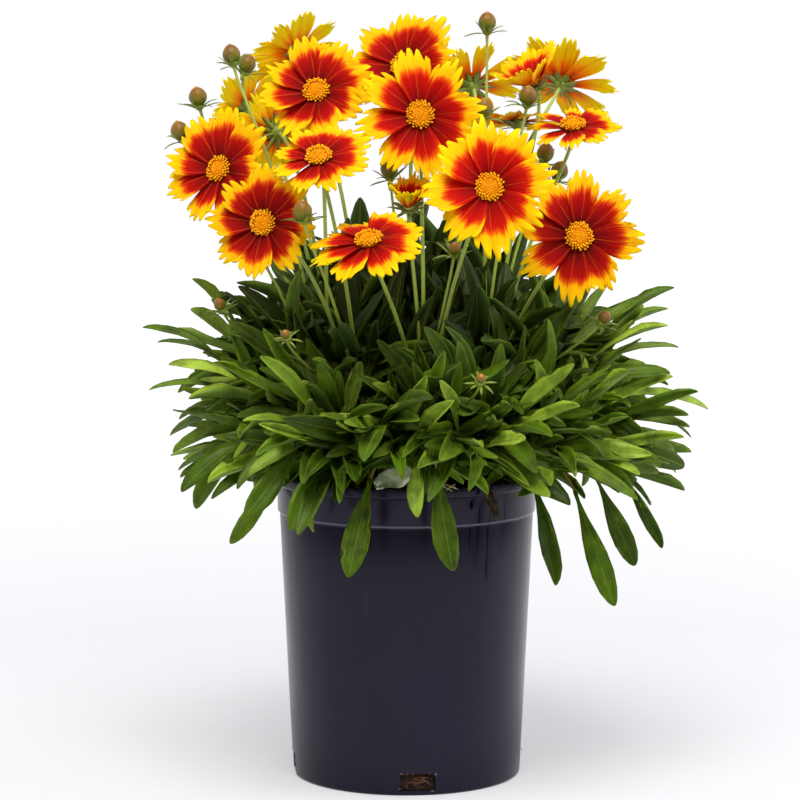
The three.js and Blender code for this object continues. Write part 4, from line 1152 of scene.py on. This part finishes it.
root_brown = dry_finish("feeding root", (106, 66, 42), (60, 40, 29))
burr_pale = dry_finish("plastic burr", (196, 198, 206), (96, 96, 108))
burr_points = [(-1, -0.5, 0), (1, -0.35, 0.1), (0.9, 0.4, 0.2), (-0.8, 0.5, 0.1), (0.1, 0, -0.35)]
burr_faces = [(0, 1, 2, 3), (1, 0, 4), (2, 1, 4), (3, 2, 4), (0, 3, 4)]
chance = random.Random(83)
root_paths = []
burr_spots = []
for i in range(4):
    heading = radians(NOTCH["heading"] + 90 * i)
    for _ in range(NOTCH_ROOTS["count"]):
        middle = chance.uniform(-5, 5)
        height = chance.uniform(6, 10)
        wide, tall = chance.uniform(2.5, 6), chance.uniform(1, 3.2)
        start, sweep = chance.uniform(0, 6.28), chance.choice((-1, 1)) * chance.uniform(2.2, 4.6)
        points, radii = [], []
        for step in range(NOTCH_ROOTS["steps"] + 1):
            turn = start + sweep * step / NOTCH_ROOTS["steps"]
            across = max(-NOTCH_ROOTS["aside"], min(NOTCH_ROOTS["aside"], middle + wide * cos(turn)))
            z = max(NOTCH_ROOTS["low"], min(NOTCH_ROOTS["high"], height + tall * sin(turn)))
            out = body_radius(z) - POT["wall"] - 0.3 + 0.5 * sin(2 * turn)
            points.append(notch_point(heading, across, z, out))
            radii.append(NOTCH_ROOTS["thick"] - NOTCH_ROOTS["taper"] * step)
        root_paths.append((points, radii))
    for _ in range(NOTCH_BURRS["count"]):
        edge = chance.choice(("top", "top", "sill", "side"))
        across = chance.choice((-1, 1)) * (NOTCH["width"] / 2 - chance.random() ** 2 * 9)
        z = NOTCH["height"] if edge == "top" else POT["floor"]
        if edge == "side":
            across = math.copysign(NOTCH["width"] / 2, across)
            z = chance.uniform(POT["floor"], NOTCH["height"])
        at = notch_point(heading, across, z, body_radius(z) - chance.uniform(0, 0.7))
        tilts = [chance.uniform(-NOTCH_BURRS["tilt"], NOTCH_BURRS["tilt"]) for _ in range(2)]
        turn = Euler([*tilts, heading + 1.57]).to_matrix()
        long = chance.uniform(NOTCH_BURRS["shortest"], NOTCH_BURRS["longest"]) * MM
        size = (long, NOTCH_BURRS["wide"] * MM, NOTCH_BURRS["thick"] * MM)
        burr_spots.append((at * MM, turn, size, chance.random(), 0))
notch_roots = drawn_out("notch_roots", root_paths, 5, root_brown)
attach(notch_roots, "root")
burrs = set_out("notch_burrs", burr_spots, [shape_mesh(burr_points, burr_faces)], burr_pale)
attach(burrs, "root")


# ---- The blooms: petals ----
# Eight broad petals to a bloom, thin and velvety, pleated lengthways and cut into four or
# five teeth at the end. They are deep red from the root, and golden yellow at the teeth;
# the undersides are a dull gold over brown red.
PETAL_COLUMNS = [
    -1, -0.95, -0.79, -0.68, -0.58, -0.34, -0.24, -0.14, 0.14, 0.24, 0.34, 0.58, 0.68, 0.79, 0.95, 1,
]
# How far each column runs, and the middle of the tooth, or of the gap, that it is drawn to.
PETAL_ENDS = [
    0.64, 0.77, 0.81, 0.72, 0.92, 0.93, 0.82, 0.99, 1.0, 0.83, 0.94, 0.91, 0.72, 0.81, 0.76, 0.64,
]
PETAL_TEETH = [-1, -0.87, -0.87, -0.68, -0.46, -0.46, -0.24, 0, 0, 0.24, 0.46, 0.46, 0.68, 0.87, 0.87, 1]
PETAL_ROWS = [0, 0.1, 0.22, 0.36, 0.5, 0.66, 0.84, 0.95, 1]
PETAL = {
    "count": 8, "root": 2.5, "plain": 0.60, "half": 0.007, "pleat": 0.011, "ribs": 14.2, "twist": 13,
    "narrowest": 0.055, "broadens": 0.235, "widest_at": 0.72, "tapers": 0.12, "usual": 0.98,
}
# The blooms whose petals are broader or slimmer than usual.
PETAL_WIDTHS = {**dict.fromkeys("ABEFGHJ", 1.13), **dict.fromkeys("MN", 0.84)}


def petal_width(s):
    """Half a petal's width at a share of its length."""
    grown = sin(min(1, s / PETAL["widest_at"]) * pi / 2) ** 1.1
    return PETAL["narrowest"] + PETAL["broadens"] * grown - PETAL["tapers"] * max(0, s - PETAL["widest_at"])


def petal_shape(chance):
    """A petal of length 1 along X, with its face up."""
    lengths = {tooth: chance.uniform(-0.05, 0.03) for tooth in PETAL_TEETH}
    ends = [end + lengths[tooth] for end, tooth in zip(PETAL_ENDS, PETAL_TEETH)]
    bow = chance.uniform(0.02, 0.13)
    cupped = chance.uniform(-0.10, 0.16)
    tips = [chance.uniform(-0.05, 0.03) for _ in PETAL_COLUMNS]
    sweep = chance.uniform(-0.05, 0.05)

    def place(s, c, lift):
        column = PETAL_COLUMNS.index(c)
        above = max(0, (s - PETAL["plain"]) / (1 - PETAL["plain"]))
        run = s if above == 0 else PETAL["plain"] + (ends[column] - PETAL["plain"]) * above
        width = petal_width(run)
        pleat = PETAL["pleat"] * cos(c * PETAL["ribs"]) * min(1, run * 2.5)
        height = bow * run * (1 - run) * 1.4 - bow * run ** 3 * 0.5 + cupped * (c * width) ** 2 * 4
        height += pleat + tips[column] * above + lift
        own = c + (PETAL_TEETH[column] - c) * max(0, above - 0.9) * 4.5
        return Vector((run, own * width + sweep * run * run, height))

    points, faces, spots, under = thin_sheet(PETAL_ROWS, PETAL_COLUMNS, place, PETAL["half"])
    spots = [(u, point.x) for (u, _), point in zip(spots, points)]
    return shape_mesh(points, faces, spots, under)


def petal_finish(name, stops, line, roughness, line_share, shift, glow):
    """A petal's face: a colour along its length, whose edge runs out in streaks. The paler the
    bloom, the further the shift moves that edge to the root."""
    material, tree, shader = new_finish(name, roughness)
    spot = surface_in(tree)
    tone = tone_in(tree)
    own = add_node(tree, "ShaderNodeCombineXYZ", {"X": spot["X"], "Y": spot["Y"], "Z": tone}).outputs[0]
    streaks = noisy(tree, stretched(tree, own, (26, 2.2, 40)), scale=1.0, detail=3.0)
    broad = noisy(tree, stretched(tree, own, (5, 1.2, 40)), scale=1.0, detail=1.0)
    # How far along its colours a place is: further at the sides, and uneven by both noises.
    half = worked_out(tree, "SUBTRACT", spot["X"], 0.5)
    level = worked_out(tree, "MULTIPLY_ADD", worked_out(tree, "MULTIPLY", half, half), 0.75, spot["Y"])
    for share, amount in ((streaks, 0.20), (broad, 0.22), (tone, shift)):
        level = worked_out(tree, "MULTIPLY_ADD", share, amount, level)
    level = worked_out(tree, "SUBTRACT", level, 0.30)
    # The red of a dark bloom is darker, its yellow hardly.
    depth = grey(tree, ranged(tree, tone, 0, 1, 0.62, 1.12, clamp=False))
    in_red = ranged(tree, level, 0.48, 0.66, 1.0, 0.3)
    toned = blended(tree, in_red, new_ramp(tree, level, stops), depth, blend_type="MULTIPLY")
    # Thin lines run down the pleats, broken by the streaks.
    wave = worked_out(tree, "COSINE", worked_out(tree, "MULTIPLY", spot["X"], PETAL["ribs"]))
    ribs = ranged(tree, wave, 0.965, 1.0, 0.0, line_share)
    fill_in(tree, shader, {
        "Base Color": blended(tree, worked_out(tree, "MULTIPLY", ribs, streaks), toned, line),
        "Normal": relief(tree, 0.5, 0.0006, streaks), "Specular IOR Level": 0.08})
    set_glow(shader, glow, (0.0016, 0.0014, 0.0002))
    return material


petal_face = petal_finish("petal face", [
    (0.0, (72, 1, 1)), (0.16, (120, 2, 1)), (0.36, (160, 4, 1)), (0.52, (188, 16, 1)),
    (0.59, (224, 84, 1)), (0.65, (252, 178, 1)), (1.0, (255, 218, 2)),
], (230, 104, 20), 0.75, line_share=0.6, shift=0.07, glow=0.3)
petal_back = petal_finish("petal underside", [
    (0.0, (126, 34, 8)), (0.24, (182, 60, 10)), (0.44, (248, 126, 12)), (0.64, (255, 186, 14)),
    (1.0, (255, 208, 12)),
], (150, 44, 8), 0.7, line_share=1.2, shift=0.22, glow=1.0)


def turned_out(head, around, out, height, lean):
    """A place in a head's frame: turned round its axis, moved out and up, and leant over."""
    return (head @ Matrix.Rotation(around, 4, "Z") @ Matrix.Translation((out, 0, height))
            @ Matrix.Rotation(lean, 4, "Y"))


def spot_at(place, size, tone, pick):
    """A spot to set a shape out at, from its place as a matrix in millimetres."""
    return place.translation * MM, place.to_3x3(), size, tone, pick


chance = random.Random(41)
petal_shapes = [petal_shape(chance) for _ in range(6)]
for name, *_, size, cup, pale in BLOOMS:
    head = head_frame(name)
    start = chance.uniform(0, 45)
    spots = []
    for k in range(PETAL["count"]):
        around = radians(start + 360 / PETAL["count"] * k + chance.uniform(-4, 4))
        rise = radians(cup + chance.uniform(-4, 4))
        twist = radians(PETAL["twist"] + chance.uniform(-3, 3))
        place = turned_out(head, around, PETAL["root"], 0, -rise) @ Matrix.Rotation(twist, 4, "X")
        length = (PETAL_REACH * size * chance.uniform(0.92, 1.06) - PETAL["root"]) * MM
        broad = chance.uniform(0.9, 1.08) * PETAL_WIDTHS.get(name, PETAL["usual"])
        tone = pale + chance.uniform(-0.1, 0.1)
        pick = chance.randrange(len(petal_shapes))
        spots.append(spot_at(place, (length, length * broad, length), tone, pick))
    petals = set_out(f"petals_{name}", spots, petal_shapes, petal_face, petal_back)
    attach(petals, "root")
    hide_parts(f"bloom_{name}_petals")


# ---- The blooms: discs ----
# The middle of each bloom is a low dome of tiny florets. Those in the middle are still shut
# and stand tight together; round them a ring stands open, each on its own dark tube.
DISC = {"radius": 7.4, "height": 4.6, "base": 1.2, "sunk": 0.9, "florets": 104, "open_from": 0.62}
SHUT_FLORET = {"wide": 1.3, "tall": 1.4, "lean": 0.35}
OPEN_FLORET = {"wide": 1.5, "shortest": 2.1, "longest": 3.4, "lean": 0.75}
DISC_HIDDEN_ABOVE = 60  # the cup, in degrees, from which a bloom is too far shut to show its disc
GOLDEN_ANGLE = 2.39996  # radians from each floret to the next


def floret_shape(profile, sides):
    """A small closed shape of revolution along Z, from radius and height pairs."""
    mesh = turned("floret", [(r / MM, z / MM) for r, z in profile], sides)
    points = [tuple(vertex.co) for vertex in mesh.vertices]
    faces = [tuple(face.vertices) for face in mesh.polygons]
    bpy.data.meshes.remove(mesh)
    return shape_mesh(points, faces, [(0.5, point[2]) for point in points])


shut_floret = floret_shape([(0, -0.5), (0.3, -0.3), (0.46, 0.45), (0.3, 0.85), (0, 1)], 5)
open_floret = floret_shape([(0, -0.8), (0.2, -0.7), (0.24, 0.35), (0.46, 0.62), (0.4, 0.95), (0, 1.05)], 5)
core_shape = floret_shape([(0, 0.0), (0.86, 0.0), (0.92, 0.35), (0.66, 0.72), (0.33, 0.86), (0, 0.9)], 14)

floret_gold, tree, shader = new_finish("floret gold", 0.7)
tall = new_ramp(tree, surface_in(tree)["Y"], [
    (0.0, (96, 26, 1)), (0.42, (176, 78, 1)), (0.62, (246, 158, 1)), (1.0, (255, 186, 2))])
warm = new_ramp(tree, tone_in(tree), [(0.0, (222, 112, 1)), (1.0, (255, 196, 4))])
dust = noisy(tree, place_in(tree), scale=2200.0, detail=2.0)
fill_in(tree, shader, {
    "Base Color": blended(tree, 0.4, tall, warm), "Normal": relief(tree, 0.4, 0.0003, dust),
    "Specular IOR Level": 0.15})

for name, *_, size, cup, _ in BLOOMS:
    if cup > DISC_HIDDEN_ABOVE:
        continue
    head = head_frame(name)
    radius = DISC["radius"] * (0.7 + 0.3 * size) * cos(radians(max(0, cup - 4)))
    core = head @ Matrix.Translation((0, 0, DISC["base"] - DISC["sunk"]))
    spots = [spot_at(core, (radius * MM, radius * MM, (DISC["height"] + 0.2) * MM), 0.2, 2)]
    for k in range(DISC["florets"]):
        share = math.sqrt((k + 0.5) / DISC["florets"])
        is_open = share > DISC["open_from"]
        floret = OPEN_FLORET if is_open else SHUT_FLORET
        dome = DISC["base"] + DISC["height"] * (0.82 - 0.62 * share ** 3) - DISC["sunk"]
        own = turned_out(head, k * GOLDEN_ANGLE, share * radius * 0.9, dome, share * floret["lean"])
        wide = floret["wide"] * MM * (0.9 + 0.2 * chance.random())
        tall = chance.uniform(floret["shortest"], floret["longest"]) if is_open else floret["tall"]
        spots.append(spot_at(own, (wide, wide, tall * MM), chance.random(), int(is_open)))
    disc = set_out(f"disc_{name}", spots, [shut_floret, open_floret, core_shape], floret_gold)
    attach(disc, "root")
    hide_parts(f"bloom_{name}_disc")


# ---- Bracts under the heads ----
# Every head sits in a small green cup ringed by eight narrow bracts that spread like a flat
# star, grass green with dark tips. Under a bloom eight broad, short ones fill the gaps.
BRACT = {
    "count": 8, "shortest": 9.5, "longest": 13.5, "young": 0.6, "out": 2.4, "down": -3.6,
    "broad": 7.5, "broad_out": 3.2, "broad_down": -2.4,
}
CUP = {"bloom": 4.6, "bud": 3.2, "tall": 2.6, "down": -2.6}
EVEN_TONE = 0.5


def bract_shape(droop, width):
    """A narrow bract of length 1 along X, hollow above, whose end droops."""
    def place(s, c, lift):
        wide = width * sin(pi * min(1, 0.16 + s * 0.84)) ** 0.7 + 0.01
        height = 0.25 * s - droop * s * s + 0.25 * wide * abs(c) + lift
        return Vector((s, c * wide, height))
    return joined_shapes([(thin_sheet([0, 0.15, 0.35, 0.6, 0.82, 1], [-1, 0, 1], place, 0.02), Matrix())])


chance = random.Random(57)
bract_shapes = [bract_shape(droop, 0.105) for droop in (0.1, 0.25, 0.45)]
broad_bract = bract_shape(0.05, 0.26)
cup_shape = floret_shape([(0, -1), (0.42, -0.9), (0.8, -0.45), (1, 0.1), (0.9, 0.5), (0, 0.6)], 12)

bract_green, tree, shader = new_finish("bract green", 0.55)
long_green = new_ramp(tree, surface_in(tree)["Y"], [
    (0.0, (126, 148, 44)), (0.6, (104, 134, 34)), (0.86, (74, 94, 28)), (1.0, (50, 44, 28))])
varied = patches(tree, place_in(tree), 120.0, 0.4, 0.7, long_green, (132, 138, 44))
fill_in(tree, shader, {"Base Color": varied["Color"]})
bract_spots = []
for name in heads:
    head = head_frame(name)
    is_bloom = name.isalpha()
    start = chance.uniform(0, 0.8)
    wide = (CUP["bloom"] if is_bloom else CUP["bud"]) * MM
    cup_at = head @ Matrix.Translation((0, 0, CUP["down"]))
    bract_spots.append(spot_at(cup_at, (wide, wide, CUP["tall"] * MM), EVEN_TONE, 4))
    for k in range(BRACT["count"]):
        around = start + 2 * pi * k / BRACT["count"] + chance.uniform(-0.12, 0.12)
        rise = chance.uniform(-0.25, 0.3) if is_bloom else chance.uniform(-0.2, 0.75)
        own = turned_out(head, around, BRACT["out"], BRACT["down"], -rise)
        young = BRACT["young"] if name.startswith("green") else 1
        long = chance.uniform(BRACT["shortest"], BRACT["longest"]) * MM * young
        bract_spots.append(spot_at(own, (long, long, long), EVEN_TONE, chance.randrange(3)))
        if is_bloom:
            own = turned_out(head, around + 0.4, BRACT["broad_out"], BRACT["broad_down"], -0.16)
            bract_spots.append(spot_at(own, (BRACT["broad"] * MM,) * 3, EVEN_TONE, 3))
bracts = set_out("bracts", bract_spots, [*bract_shapes, broad_bract, cup_shape], bract_green)
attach(bracts, "root")


# ---- The buds ----
# Shut heads: eight broad inner bracts pressed together into a fluted ball, olive brown with
# a red or golden flush, a little pointed where they meet.
BUD_BALL = {"wide": 11.4, "over": 1.1, "rings": 8, "sides": 24, "flutes": 0.1, "tip": 1.02, "sunk": -2.6}
SMALL_BUDS = {"12": 0.68, "13": 0.68, "14": 0.68}
GREEN_BALL = {"size": (6 * MM, 6 * MM, 5 * MM), "sunk": -1.6}


def bud_shape():
    """A fluted ball of width and height 1 that stands on the origin."""
    points = [Vector((0, 0, 0))]
    for r in range(1, BUD_BALL["rings"] + 1):
        t = r / (BUD_BALL["rings"] + 1)
        radius = 0.5 * sin(pi * t ** 0.92) ** 0.58
        for i in range(BUD_BALL["sides"]):
            turn = 2 * pi * i / BUD_BALL["sides"]
            groove = 1 - BUD_BALL["flutes"] * (0.5 + 0.5 * cos(8 * turn + 2.2 * t)) * sin(pi * t)
            points.append(Vector((radius * groove * cos(turn), radius * groove * sin(turn), t)))
    points.append(Vector((0, 0, BUD_BALL["tip"])))
    spots = [(math.atan2(point.y, point.x) / (2 * pi) + 0.5, point.z) for point in points]
    return shape_mesh(points, skin_faces(BUD_BALL["rings"], BUD_BALL["sides"]), spots)


bud_olive, tree, shader = new_finish("bud bracts", 0.42)
place = place_in(tree)
olive = new_ramp(tree, surface_in(tree)["Y"], [
    (0.0, (104, 122, 22)), (0.35, (112, 112, 20)), (0.65, (122, 96, 24)), (0.9, (138, 90, 26)),
    (1.0, (184, 136, 34))])
lines = noisy(tree, stretched(tree, place, (1, 1, 0.12)), scale=900.0, detail=2.0)
fill_in(tree, shader, {
    "Base Color": patches(tree, place, 150.0, 0.5, 0.8, olive, (108, 60, 34))["Color"],
    "Normal": relief(tree, 0.35, 0.0005, lines), "Specular IOR Level": 0.3})
bud_spots = []
for name, _, _ in BUDS + GREEN_HEADS:
    small = SMALL_BUDS.get(name, 1)
    wide = BUD_BALL["wide"] * small * MM
    size, sunk = (wide, wide, (BUD["height"] + BUD_BALL["over"]) * small * MM), BUD_BALL["sunk"]
    if name.startswith("green"):
        size, sunk = GREEN_BALL["size"], GREEN_BALL["sunk"]
    own = head_frame(name) @ Matrix.Translation((0, 0, sunk))
    bud_spots.append(spot_at(own, size, chance.random(), 0))
buds = set_out("buds", bud_spots, [bud_shape()], bud_olive)
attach(buds, "root")
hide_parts(*[f"bud_{name}" for name, _, _ in BUDS])
